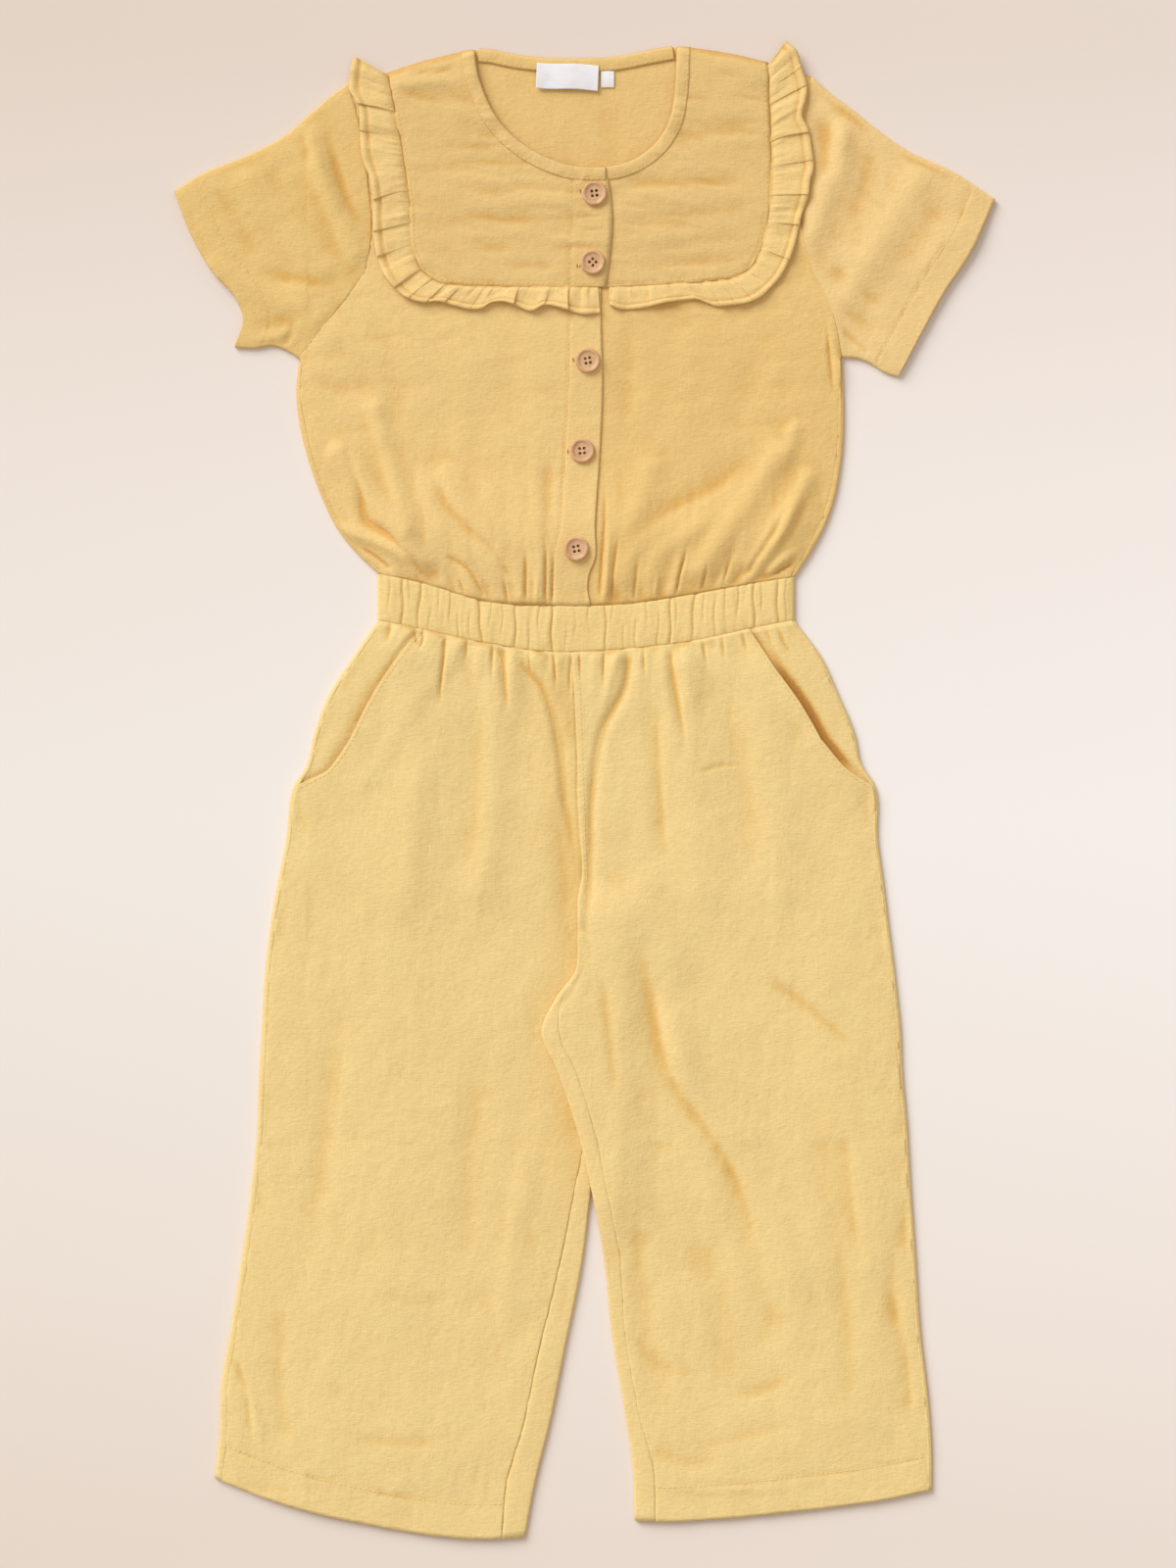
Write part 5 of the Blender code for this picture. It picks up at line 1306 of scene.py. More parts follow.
def ruffle(name, table, tips, laps, lap, finish):
    """A gathered strip: its folds lie over one another, and its hem is rolled."""
    root = spaced(table_edge(table, RUFFLE_COLUMNS, "root_x", "root_y"), RUFFLE_STEPS)
    tip = spaced(tips, RUFFLE_STEPS)
    outwards = tip - root
    root = root - ROOT_TUCK * outwards / np.linalg.norm(outwards, axis=1)[:, None]
    length = spans(root).sum()
    share = np.array(RUFFLE_SHARES)[None, :]
    place = np.linspace(0, length, RUFFLE_STEPS + 1)[:, None]
    shift, pile = lapped(place, share, laps)
    spot = np.clip((place + shift) / length, 0, 1)
    steps = np.linspace(0, 1, RUFFLE_STEPS + 1)
    plan = picked(root, steps, spot) * (1 - share[..., None]) + picked(tip, steps, spot) * share[..., None]
    turn = 2 * math.pi * place / length
    phase = RUFFLE_WAVES * turn + RUFFLE_WANDER * np.sin(3 * turn)
    wave = (0.5 - 0.5 * np.cos(phase)) * (0.75 + 0.25 * np.sin(2.3 * turn + 1))
    grow = RUFFLE_ROOT_HEIGHT + (RUFFLE_WAVE_HEIGHT - RUFFLE_ROOT_HEIGHT) * share
    gathers = ruffle_gathers(place, share)
    height = stay_above(under_ruffle(plan)) + lap(plan) + LAP + RUFFLE_CLEAR + 0.3
    height += 0.35 * wave * grow + 1.15 * pile + gathers + rolled_hem(share)
    height -= (1.1 + 0.5 * grow + gathers) * bell(share, 0.11)
    return shell(name, lifted(plan, height), finish, thickness=FINE_CLOTH)


def under_ruffle(points):
    """The front under a ruffle, without its finest relief."""
    return upper(points) + 0.5 * noise(points, 34, 1)


# -------------------------------------------------------------------------- sleeves
SLEEVE_ROWS = 64
SLEEVE_COLUMNS = dict(fan=22, strip=46)


def sleeve(name, top, under, cuff, arm, outward, finish):
    """A short sleeve: one piece of cloth, folded along the top and closed under the arm."""
    line = armhole(arm, outward * SEAM / 2, SLEEVE_COLUMNS)[::-1]
    upper_edge, lower_edge = spaced(top, SLEEVE_ROWS), spaced(under, SLEEVE_ROWS)
    upper_edge[0], lower_edge[0] = line[0], line[-1]
    hem = spaced(cuff, len(line) - 1)
    grid = coons(upper_edge, lower_edge, line, hem)
    shares = list(np.linspace(0, 1, len(line))[2:-2])
    sections = [ring_section(width, shares) for width in widths(grid)]
    stitched = moved(hem, outward * CUFF_DEPTH)

    def surface(plan):
        height = level_at_armhole(plan, sleeve_surface(plan), line)
        height = height + seam_dip(plan, [line], SIDE_DROP) + stitch_dip(plan, [stitched])
        return height, 0.0

    made = from_sections(name, grid, sections, surface, finish, ring=True)
    stitches(made, [stitched[1:-1]], seam_thread)
    return made


# ------------------------------------------------------------------------ waistband
BAND_COLUMNS = 460  # over the front
BELOW_STEP = 8  # the back has this many times fewer columns
BAND_ROWS = (
    0, 0.02, 0.05, 0.09, 0.14, 0.2, 0.27, 0.34, 0.42, 0.5, 0.58, 0.66, 0.73, 0.8, 0.86, 0.91, 0.95, 0.98, 1,
)
WRINKLE_WIDTH = 0.8  # share of half the width that a wrinkle's own form takes
WRINKLE_SIDES = (0.8, 1.7)  # a wrinkle is softer on its right and steeper on its left
WRINKLE_LIP = (2.2, 1.5)  # place and width of the rise on its left, in widths
WRINKLE_DROP, WRINKLE_RISE = 0.62, 0.18  # shares of its depth
WRINKLE_ENDS = (0.25, 0.15)  # it ends this far outside and inside its own ends
BAND_FINE = ((0.12, (1.9, 9)), (0.34, (6.5, 15)))  # layers of fine gathers: height and cell
BAND_FLAT = dict(x=3, half_width=13, share=0.7)  # the fine gathers are calmer at the placket
BAND_OVER = dict(x=-6, half_width=15, height=0.9)  # the band rises over the placket's end
BAND_EDGE = 0.04  # share of its height over which the band turns down at its seams


def wrinkle_rise(x, v):
    """The wrinkles of an elasticated band, at a place along it and a share of its height."""
    outside, inside = WRINKLE_ENDS
    total = np.zeros(np.broadcast(x, v).shape)
    for row in WRINKLES:
        wrinkle = dict(zip(WRINKLE_COLUMNS, row))
        bend = 0.5 * np.sin(7 * v + wrinkle["x"])
        across = x - wrinkle["x"] - wrinkle["lean"] * (v - 0.5) + bend
        across = across / (WRINKLE_WIDTH * wrinkle["half_width"])
        near = np.exp(-np.abs(across * np.where(across > 0, *WRINKLE_SIDES)) ** 1.5)
        beyond = bell(across + WRINKLE_LIP[0], WRINKLE_LIP[1])
        rise = ramp(v, wrinkle["low"] - outside, wrinkle["low"] + inside)
        window = rise * (1 - ramp(v, wrinkle["high"] - inside, wrinkle["high"] + outside))
        total += window * wrinkle["depth"] * (WRINKLE_RISE * beyond - WRINKLE_DROP * near)
    return total


def band_top(over, v, plan):
    """Height of the waistband's front, at places along it and shares of its height."""
    from_end = from_band_ends(over)
    level = TOP + 0.15 * band_rise(over) + 0.3 + 0.45 * ramp(from_end, 0, 9)
    bulge = BAND_BULGE * np.sin(math.pi * v) ** 0.45
    bulge = bulge - 0.35 * np.exp(-v / BAND_EDGE) - 0.1 * np.exp(-(1 - v) / BAND_EDGE)
    calm = 1 - BAND_FLAT["share"] * bell(over - BAND_FLAT["x"], BAND_FLAT["half_width"])
    fine = calm * layered(plan, BAND_FINE, 81)
    rise = ramp(from_end, 0, 6) * (bulge + wrinkle_rise(over[None], v) + fine)
    placket = np.exp(-(((over - BAND_OVER["x"]) / BAND_OVER["half_width"]) ** 4))
    return stay_above(level + rise + BAND_OVER["height"] * placket * ramp(v, 0.3, 1))


def waistband():
    """An elasticated casing, gathered, as one flattened ring."""
    over = np.linspace(BAND_LEFT + FOLD_R, BAND_RIGHT - FOLD_R, BAND_COLUMNS)
    arc = np.array(fold_arc(1.0))
    below = over[::-BELOW_STEP][1:-1]
    x = np.concatenate([over, BAND_RIGHT - arc[::-1, 0][1:], below, BAND_LEFT + arc[:, 0]])
    v = np.array(BAND_ROWS)[:, None]
    y = band_y("bottom", x) * (1 - v) + band_y("top", x) * v
    plan = np.stack([x[None] + 0 * v, y], axis=-1)
    front = band_top(over, v, plan[:, : len(over)])
    right_fold = 0 * v + FLOOR + arc[::-1, 1][1:]
    back = FLOOR - 0.1 + 0.25 * patches(plan[:, : len(below)], (5, 20), 83)
    left_fold = 0 * v + FLOOR + arc[:, 1]
    z = np.hstack([front, right_fold, back, left_fold])
    return shell("waistband", lifted(plan, z), tone["band"], ring=True)


# ------------------------------------------------------------------------- trousers
LEG_STEPS = 14  # rows to each span of the leg tables, in the fronts
BACK_STEPS = 8  # in the backs and pocket pieces
LEG_COLUMNS_SHOWN = 150
POCKET_COLUMNS = 40
POCKET_RELIEF = 1.2
POCKET_TUCK_RUN = 12.0  # the front comes down again over this distance past the pocket piece
POCKET_STITCHED = 2.0  # the pocket's edge is stitched this far in
GAPE_WIDTH = 9.0  # of the front that stands away along a pocket's opening
CROTCH_TUCK = 3.0  # the fronts run on past the centre by this at the crotch
CENTRE_DROP = 0.2  # how far the fronts turn down at the centre seam
CENTRE_TUCK, CENTRE_TUCK_RUN = 0.8, 2.5  # drop of the left front's last columns under the right one
# Painted shade on the left leg, along this line beside the crotch and the right leg's edge.
THIGH_SHADE = ((-12, 60), (-7, 20), (-3, -40), (-2, -100), (-14, -160), (-8, -215), (4, -255))
THIGH_SHADE_DEPTH = 0.34  # painted shade on that line
THIGH_REACH = (13, 5)  # how far the painted shade reaches to the left of the centre, and to its right
# The right leg is stitched along its centre seam.
CENTRE_STITCHED = ((-4.6, 82), (-2.6, 60), (-1.2, 18), (0.4, -30), (1.6, -56))


def fine_table(table, steps):
    """A leg table with that many rows to each of its spans, on smooth curves."""
    outer = smooth(leg_edge(table, "out"), steps)
    inner = smooth(leg_edge(table, "in"), steps)
    places = np.arange(len(outer)) / steps
    rest = [np.interp(places, np.arange(len(table)), [row[k] for row in table]) for k in (4, 5, 6)]
    return outer, inner, rest


def leg_grid(table, hem, steps, columns):
    """Plan grid of a leg, rows from the waist to the hem, columns from the outer to the inner edge."""
    outer, inner, rest = fine_table(table, steps)
    waist = waist_edge("bottom", outer[0][0], inner[0][0], columns, -WAIST_GAP)
    outer[0], inner[0] = waist[0], waist[-1]
    return coons(outer, inner, waist, spaced(hem, columns)), rest


def opening_distance(grid, pocket, rows):
    """How far in from the outer edge the pocket opening is, on each of the rows that it passes."""
    slant = spaced(pocket, rows)
    return np.linalg.norm(slant - grid[: rows + 1, 0], axis=1)


def pocket_gape(plan, pocket, height):
    """The front's edge stands away from the pocket piece along the middle of the opening."""
    across, share = beside(plan.reshape(-1, 2), smooth(pocket))
    rise = height * np.sin(math.pi * np.clip(share, 0, 1)) * bell(across, GAPE_WIDTH)
    return rise.reshape(plan.shape[:-1])


def front_shares(grid, seam_out, seam_in, pocket):
    """The shares of each row between which a trouser front shows, past its opening and seams."""
    width = widths(grid)
    rows = POCKET_ROWS * LEG_STEPS
    first, last = seam_out + SEAM / 2, seam_in + SEAM / 2
    first[:rows] = np.maximum(opening_distance(grid, pocket, rows)[:-1], first[:rows])
    span = np.arange(len(width)) / LEG_STEPS
    tucked = CROTCH_TUCK * ramp(span, CROTCH_ROW - 2, CROTCH_ROW - 1)
    last = last - tucked * (1 - ramp(span, CROTCH_ROW + 1, CROTCH_ROW + 2))
    return np.linspace(first / width, 1 - last / width, LEG_COLUMNS_SHOWN + 1, axis=1)


def leg_front(name, table, hem, pocket, lift, gape, outward, more=()):
    """The front of a leg, cut away at the top along the pocket opening."""
    grid, (seam_out, seam_in, _) = leg_grid(table, hem, LEG_STEPS, 80)
    shares = front_shares(grid, seam_out, seam_in, pocket)
    plan = np.array([along_row(row, line) for row, line in zip(grid, shares)])
    near_pocket = 1 - ramp(to_line(plan, pocket), POCKET_TUCK, POCKET_TUCK + POCKET_TUCK_RUN)
    near_pocket = near_pocket * ramp(plan[..., 1], *POCKET_FADE)
    hem_stitch = moved(spaced(hem, 40), outward * HEM_DEPTH)
    rows, crotch = POCKET_ROWS * LEG_STEPS, CROTCH_ROW * LEG_STEPS
    opening = plan[: rows + 1, 0]
    sewn = seam_dip(plan, [plan[rows + 6 :: 3, 0], plan[crotch::3, -1]], SIDE_DROP)
    sewn = sewn + seam_dip(plan, [plan[:crotch:3, -1]], CENTRE_DROP)
    if outward > 0:
        last_columns = LEG_COLUMNS_SHOWN - CENTRE_TUCK_RUN, LEG_COLUMNS_SHOWN
        under_right = ramp(np.arange(LEG_COLUMNS_SHOWN + 1), *last_columns)
        sewn = sewn - CENTRE_TUCK * under_right * (plan[..., 1] > LEG_LEFT[CROTCH_ROW + 1][1])
    height = level_at_waist(plan, trouser_surface(plan)) + lift(plan) + POCKET_DIP * near_pocket + sewn
    height += stitch_dip(plan, [hem_stitch]) + pocket_gape(plan, opening, gape)
    # painted shade in the trousers' broad folds
    shaded = BROAD_SHADE * broad_hollows(plan, TROUSER_CREASES)
    if outward > 0:
        # painted shade on the inner thigh, beside the right leg's edge
        inner_thigh = to_line(plan, THIGH_SHADE) / np.where(plan[..., 0] < 0, *THIGH_REACH)
        shaded += THIGH_SHADE_DEPTH * np.exp(-inner_thigh) * (0.8 + 0.4 * noise(plan, 24, 64))
    made = shell(name, lifted(plan, height), tone["legs"], deeper=shaded)
    edge = moved(opening[:: LEG_STEPS // 2], outward * POCKET_STITCHED)
    stitches(made, [hem_stitch, edge, *more], seam_thread)
    return made


def leg_back(name, table, hem, lift):
    """The back of a leg: it wraps round the outer fold, and below the crotch round the inner one."""
    grid, rest = leg_grid(table, hem, BACK_STEPS, 60)
    shown = np.linspace(0, 1, 26)[1:-1]
    sections = []
    for out, inside, folded, width in zip(*rest, widths(grid)):
        outer_edge = folded_edge(width, out)
        inner_edge = folded_edge(width, inside) if folded > 0.5 else plain_edge(width)
        first, last = outer_edge[-1][0], 1 - inner_edge[-1][0]
        sections.append(section(outer_edge, first + (last - first) * shown, inner_edge))

    def surface(plan):
        return trouser_surface(plan) + lift(plan), lift(plan)

    return from_sections(name, grid, sections, surface, tone["legs"])


def pocket_hollow(share, outside, mouth):
    """How far the pocket piece sinks along the opening's length, where the mouth stands open."""
    return mouth * ramp(share, -0.02, 0.35) * (1 - ramp(share, 0.66, 0.98)) * (1 - ramp(outside, 3.0, 8.5))


def pocket_piece(name, table, hem, pocket, lift, mouth):
    """The cloth seen through a pocket opening: it sinks in, with painted shade, where the mouth stands open.
    """
    full, (seam_out, _, _) = leg_grid(table, hem, BACK_STEPS, 60)
    rows = POCKET_ROWS * BACK_STEPS
    grid, seam = full[: rows + 1], seam_out[: rows + 1] + SEAM / 2
    width = widths(grid)
    opening = np.maximum(opening_distance(full, pocket, rows), seam)
    shares = np.linspace(seam / width, (opening + POCKET_TUCK) / width, POCKET_COLUMNS, axis=1)
    plan = np.array([along_row(row, line) for row, line in zip(grid, shares)])
    inside = shares * width[:, None] - opening[:, None]
    hollow = pocket_hollow(np.linspace(0, 1, rows + 1)[:, None], -inside, mouth)
    sunk = np.maximum(POCKET_RELIEF * ramp(inside, *POCKET_STEP), hollow)
    height = trouser_surface(plan) + lift(plan) - sunk + seam_dip(plan, [plan[:, 0]], SIDE_DROP)
    height = stay_above(height, FLOOR + 1.0)
    # painted shade in the pocket's open mouth, as deep as the piece sinks there
    return shell(name, lifted(plan, level_at_waist(plan, height)), tone["legs"], deeper=hollow / 1.9)


# ------------------------------------------------------------- stitches and threads
# A thread's shape: share of the way along it, and share of its radius there.
THREAD_PROFILE = ((0.0, 0.45), (0.12, 0.9), (0.5, 1.0), (0.88, 0.9), (1.0, 0.45))
THREAD_SIDES = 6
RAY_START = 0.05  # metres above the surface, over everything


def capsules(name, starts, ends, radius, finish):
    """One mesh of many short rounded threads, each from a start to an end, in millimetres."""
    sides = THREAD_SIDES
    angle = 2 * math.pi * np.arange(sides) / sides
    points, faces = [], []
    for start, end in zip(starts, ends):
        direction = (end - start) / np.linalg.norm(end - start)
        aside = np.cross(direction, (0, 0, 1))
        aside /= np.linalg.norm(aside)
        above = np.cross(aside, direction)
        base = len(points)
        for share, size in THREAD_PROFILE:
            ring = start + share * (end - start)
            for a in angle:
                points.append(ring + radius * size * (math.cos(a) * aside + math.sin(a) * above))
        for k in range(len(THREAD_PROFILE) - 1):
            for s in range(sides):
                p, q = base + k * sides + s, base + k * sides + (s + 1) % sides
                faces.append((p, q, q + sides, p + sides))
        faces.append(tuple(base + s for s in range(sides))[::-1])
        faces.append(tuple(base + (len(THREAD_PROFILE) - 1) * sides + s for s in range(sides)))
    mesh = bpy.data.meshes.new(name)
    mesh.from_pydata([tuple(point * MM) for point in points], [], faces)
    return dressed(placed(name, mesh), finish)


def top_of(made):
    """A function that gives the height of a shell's upper side at plan points."""
    mesh = made.data
    points = [vertex.co for vertex in mesh.vertices]
    tree = BVHTree.FromPolygons(points, [face.vertices for face in mesh.polygons])

    def height(plan):
        found = [tree.ray_cast((x * MM, y * MM, RAY_START), (0, 0, -1))[0] for x, y in plan]
        return np.array([np.nan if hit is None else hit.z / MM + CLOTH / 2 for hit in found])

    return height


def stitches(made, lines, finish):
    """Rows of machine stitches along plan lines on a piece, half sunk in the cloth."""
    height = top_of(made)
    starts, ends = [], []
    for line in lines:
        marks = spaced(line, max(2, round(spans(line).sum() / STITCH_PITCH)), curved=False)
        step = np.diff(marks, axis=0) * (1 - STITCH_LENGTH / STITCH_PITCH) / 2
        first, last = marks[:-1] + step, marks[1:] - step
        pairs = zip(lifted(first, height(first)), lifted(last, height(last)))
        for start, end in pairs:
            if np.isfinite(start[2] + end[2]):
                starts.append(start)
                ends.append(end)
    return capsules(made.name.replace("look", "stitches"), starts, ends, STITCH_R, finish)


# ------------------------------------------------------------------------ materials
def linear(red, green, blue):
    """A colour given as 0 to 255 display values, as the shader wants it."""
    values = np.array((red, green, blue)) / 255
    return (*np.where(values < 0.04045, values / 12.92, ((values + 0.055) / 1.055) ** 2.4), 1)


class Nodes:
    """Short ways of adding nodes to a material."""

    def __init__(self, name):
        self.material = bpy.data.materials.new(name)
        self.material.use_nodes = True
        self.tree = self.material.node_tree
        self.shader = self.tree.nodes["Principled BSDF"]

    def add(self, kind, **values):
        node = self.tree.nodes.new(kind)
        for key, value in values.items():
            setattr(node, key, value)
        return node

    def join(self, source, target):
        self.tree.links.new(source, target)

    def place(self, scale, angle=0.0):
        """Object coordinates, turned about Z, stretched by these scales."""
        coordinates = self.add("ShaderNodeTexCoord")
        mapping = self.add("ShaderNodeMapping")
        mapping.inputs["Rotation"].default_value = (0, 0, angle)
        mapping.inputs["Scale"].default_value = scale
        self.join(coordinates.outputs["Object"], mapping.inputs["Vector"])
        return mapping.outputs["Vector"]

    def noise(self, place, detail=2.0, roughness=0.5):
        node = self.add("ShaderNodeTexNoise")
        node.inputs["Scale"].default_value = 1.0
        node.inputs["Detail"].default_value = detail
        node.inputs["Roughness"].default_value = roughness
        self.join(place, node.inputs["Vector"])
        return node.outputs["Fac"]

    def feed(self, sockets, values):
        """Sets or joins each of these sockets."""
        for socket, value in zip(sockets, values):
            if isinstance(value, (tuple, float, int)):
                socket.default_value = value
            else:
                self.join(value, socket)

    def math(self, operation, first, second):
        node = self.add("ShaderNodeMath", operation=operation)
        self.feed(node.inputs, (first, second))
        return node.outputs[0]

    def blend(self, share, first, second, mode="MIX"):
        """A mix of two colours: its share and colours are inputs 0, 6 and 7, its colour is output 2."""
        node = self.add("ShaderNodeMix", data_type="RGBA", blend_type=mode)
        self.feed((node.inputs[0], node.inputs[6], node.inputs[7]), (share, first, second))
        return node.outputs[2]

    def spread(self, value, low_end, high_end):
        """The value, stretched so that these ends become 0 and 1."""
        node = self.add("ShaderNodeMapRange")
        node.inputs["From Min"].default_value = low_end
        node.inputs["From Max"].default_value = high_end
        self.join(value, node.inputs["Value"])
        return node.outputs["Result"]

    def bump(self, height, strength, distance, over=None):
        node = self.add("ShaderNodeBump")
        node.inputs["Strength"].default_value = strength
        node.inputs["Distance"].default_value = distance
        self.join(height, node.inputs["Height"])
        if over is not None:
            self.join(over, node.inputs["Normal"])
        return node.outputs["Normal"]

    def ramp(self, share, stops):
        """A colour for each share, blended between stops of (place, colour)."""
        node = self.add("ShaderNodeValToRGB")
        while len(node.color_ramp.elements) < len(stops):
            node.color_ramp.elements.new(0.5)
        for element, (place, colour) in zip(node.color_ramp.elements, stops):
            element.position = place
            element.color = colour
        self.join(share, node.inputs["Fac"])
        return node.outputs["Color"]


def shade(colour, factor):
    """A deeper tone of a cloth's colour: the blue goes down fastest."""
    red, green, blue, alpha = colour
    return (red * factor, green * factor**1.5, blue * factor**2.3, alpha)


PAINTED_GLOW = (0.035, 0.014, 0.0, 1)  # painted glow: a faint orange emission from the cloth that warms its shade, in place of light that thin cloth lets through
# Painted shade in folds: factors on the colour, from no fold to the deepest one.
PAINTED_FOLD_STOPS = ((0.0, (1, 1, 1, 1)), (0.5, (0.88, 0.74, 0.52, 1)), (1.0, (0.6, 0.38, 0.2, 1)))


def cotton(name, colour, angle=0.0):
    """Crinkled cotton: slubs along and across, soft mottling and a fine crinkle, with painted shade in its
    folds and a faint painted glow.
    """
    made = Nodes(name)
    across = made.noise(made.place((210, 1250, 500), angle), 3.0, 0.6)
    along_warp = made.noise(made.place((1350, 170, 500), angle), 3.0, 0.6)
    mottle = made.noise(made.place((70, 60, 70), angle), 3.0, 0.6)
    crinkle = made.noise(made.place((300, 420, 300), angle), 4.0, 0.62)
    weave = made.math("ADD", made.math("MULTIPLY", across, 1.2), made.math("MULTIPLY", along_warp, 0.8))
    slub = made.spread(weave, 0.66, 1.34)
    tone_share = made.math("ADD", made.math("MULTIPLY", slub, 0.62), made.math("MULTIPLY", mottle, 0.38))
    red, green, blue, alpha = colour
    # the base colour is lowered by the painted glow, so that lit cloth keeps its colour
    colour = (red - PAINTED_GLOW[0], green - PAINTED_GLOW[1], blue, alpha)
    plain = made.blend(made.spread(tone_share, 0.25, 0.75), shade(colour, 0.955), shade(colour, 1.035))
    # painted shade: the fold attribute darkens and warms the colour in hollows
    fold = made.add("ShaderNodeAttribute", attribute_name="fold")
    with_painted_shade = made.blend(1.0, plain, made.ramp(fold.outputs["Fac"], PAINTED_FOLD_STOPS), "MULTIPLY")
    made.join(with_painted_shade, made.shader.inputs["Base Color"])
    fine = made.bump(slub, 0.4, 0.0003)
    coarse = made.bump(crinkle, 0.4, 0.0010, fine)
    made.join(made.bump(mottle, 0.25, 0.003, coarse), made.shader.inputs["Normal"])
    # painted glow: the cloth emits this faint orange light
    made.shader.inputs["Emission Color"].default_value = PAINTED_GLOW
    made.shader.inputs["Emission Strength"].default_value = 1.0
    made.shader.inputs["Roughness"].default_value = 0.88
    made.shader.inputs["Sheen Weight"].default_value = 0.12
    made.shader.inputs["Sheen Roughness"].default_value = 0.5
    made.shader.inputs["Specular IOR Level"].default_value = 0.2
    return made.material


def wooden(name, colour):
    """Pale turned wood with faint growth rings."""
    made = Nodes(name)
    grain = made.noise(made.place((160, 900, 900), 0.5), 3.0)
    rings = made.noise(made.place((260, 60, 260), 0.5), 2.0)
    share = made.spread(made.math("ADD", grain, rings), 0.75, 1.3)
    made.join(made.blend(share, shade(colour, 0.86), shade(colour, 1.08)), made.shader.inputs["Base Color"])
    made.join(made.bump(grain, 0.3, 0.0002), made.shader.inputs["Normal"])
    made.shader.inputs["Roughness"].default_value = 0.5
    made.shader.inputs["Specular IOR Level"].default_value = 0.35
    return made.material


def satin_tape(name, colour):
    """A blank woven label: fine ribs and a slight gloss."""
    made = Nodes(name)
    ribs = made.noise(made.place((200, 3200, 400), 0.04), 1.0)
    cloudy = made.noise(made.place((120, 120, 120)), 2.0)
    share = made.spread(made.math("ADD", ribs, cloudy), 0.7, 1.3)
    made.join(made.blend(share, shade(colour, 0.96), shade(colour, 1.02)), made.shader.inputs["Base Color"])
    made.join(made.bump(ribs, 0.4, 0.0002), made.shader.inputs["Normal"])
    made.shader.inputs["Roughness"].default_value = 0.6
    return made.material


def thread(name, colour):
    made = Nodes(name)
    twist = made.noise(made.place((2600, 2600, 2600)), 1.0)
    made.join(made.blend(twist, shade(colour, 0.9), shade(colour, 1.06)), made.shader.inputs["Base Color"])
    made.shader.inputs["Roughness"].default_value = 0.8
    return made.material


# -------------------------------------------------------------- buttons and labels
BUTTON_TURNS, HOLE_TURNS = 64, 20
HOLE_R = 0.95  # a little wider than the solid's, so that the dark thread shows in the holes as their painted shade
SHARP_ANGLE = 48  # degrees between faces, past which an edge of a button is sharp
THREAD_R, THREAD_LEVEL = 0.88, 0.9  # the sewing thread, thick and dark brown so that it also stands in for the shade in the holes, and its height over the button's underside
# Half sections: share of the radius, and height.
BUTTON_PROFILE = (
    (0, 1.95), (0.35, 1.95), (0.56, 1.98), (0.66, 2.1), (0.72, 2.45), (0.78, 2.85), (0.85, 3), (0.91, 2.94),
    (0.96, 2.66), (0.99, 2.2), (1, 1.6), (0.985, 0.9), (0.94, 0.35), (0.86, 0.02), (0.6, 0), (0, 0),
)
HOLE_PROFILE = ((0, 6), (0.9, 6), (1, 5), (1, -5), (0.9, -6), (0, -6))


def resting_height(x, y, radius):
    """The height of the solid button's underside."""
    turn = np.linspace(0, 2 * math.pi, 25)
    spots = np.stack([x + radius * np.cos(turn), y + radius * np.sin(turn)], axis=1)
    spots = np.vstack([spots, [(x, y)]])
    on_yoke = LAP if y > YOKE_EDGE[0][1] else 0
    return float((upper(spots) + placket_lap(spots)).max()) + on_yoke + WALL / 2


def revolved(name, profile, radius, turns):
    """A mesh turned about Z from a half section of (share of the radius, height)."""
    angle = 2 * math.pi * np.arange(turns) / turns
    points, faces = [], []
    inner = profile[1:-1]
    for share, z in inner:
        points += [(share * radius * math.cos(a), share * radius * math.sin(a), z) for a in angle]
    top, bottom = len(points), len(points) + 1
    points += [(0, 0, profile[0][1]), (0, 0, profile[-1][1])]
    for k in range(len(inner) - 1):
        for s in range(turns):
            p, q = k * turns + s, k * turns + (s + 1) % turns
            faces.append((p, p + turns, q + turns, q))
    last = (len(inner) - 1) * turns
    for s in range(turns):
        faces.append((top, s, (s + 1) % turns))
        faces.append((bottom, last + (s + 1) % turns, last + s))
    mesh = bpy.data.meshes.new(name)
    mesh.from_pydata([(x * MM, y * MM, z * MM) for x, y, z in points], [], faces)
    return mesh


def hole_places(turned):
    """The plan places of a button's four holes round its centre."""
    angles = [math.radians(turned + 45 + 90 * i) for i in range(4)]
    reach = HOLE_PITCH / math.sqrt(2)
    return [(reach * math.cos(angle), reach * math.sin(angle)) for angle in angles]


def drill(made, turned):
    """Cuts the four holes through a button that lies at the origin."""
    cutter = revolved(made.name.replace("look", "hole"), HOLE_PROFILE, HOLE_R, HOLE_TURNS)
    holes = []
    for dx, dy in hole_places(turned):
        hole = placed("hole", cutter)
        hole.location = (dx * MM, dy * MM, 0)
        cut = made.modifiers.new("hole", "BOOLEAN")
        cut.operation = "DIFFERENCE"
        cut.solver = "EXACT"
        cut.object = hole
        holes.append(hole)
    bpy.context.view_layer.update()
    drilled = bpy.data.meshes.new_from_object(made.evaluated_get(bpy.context.evaluated_depsgraph_get()))
    made.modifiers.clear()
    made.data = drilled
    for hole in holes:
        bpy.data.objects.remove(hole)


def button(number, x, y, turned):
    """A round wooden button with a raised rim and four holes, and its sewing thread."""
    name = f"button_{number}"
    made = placed(name + "_look", revolved(name, BUTTON_PROFILE, BUTTON_R, BUTTON_TURNS))
    drill(made, turned)
    base = resting_height(x, y, BUTTON_R)
    for vertex in made.data.vertices:
        vertex.co = (vertex.co.x + x * MM, vertex.co.y + y * MM, vertex.co.z + base * MM)
    made.data.materials.clear()
    dressed(made, wood)
    made.data.set_sharp_from_angle(angle=math.radians(SHARP_ANGLE))
    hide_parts(name)
    spots = [np.array((x + dx, y + dy, base + THREAD_LEVEL)) for dx, dy in hole_places(turned)]
    capsules(name + "_thread", [spots[0], spots[2]], [spots[1], spots[3]], THREAD_R, cord_thread)


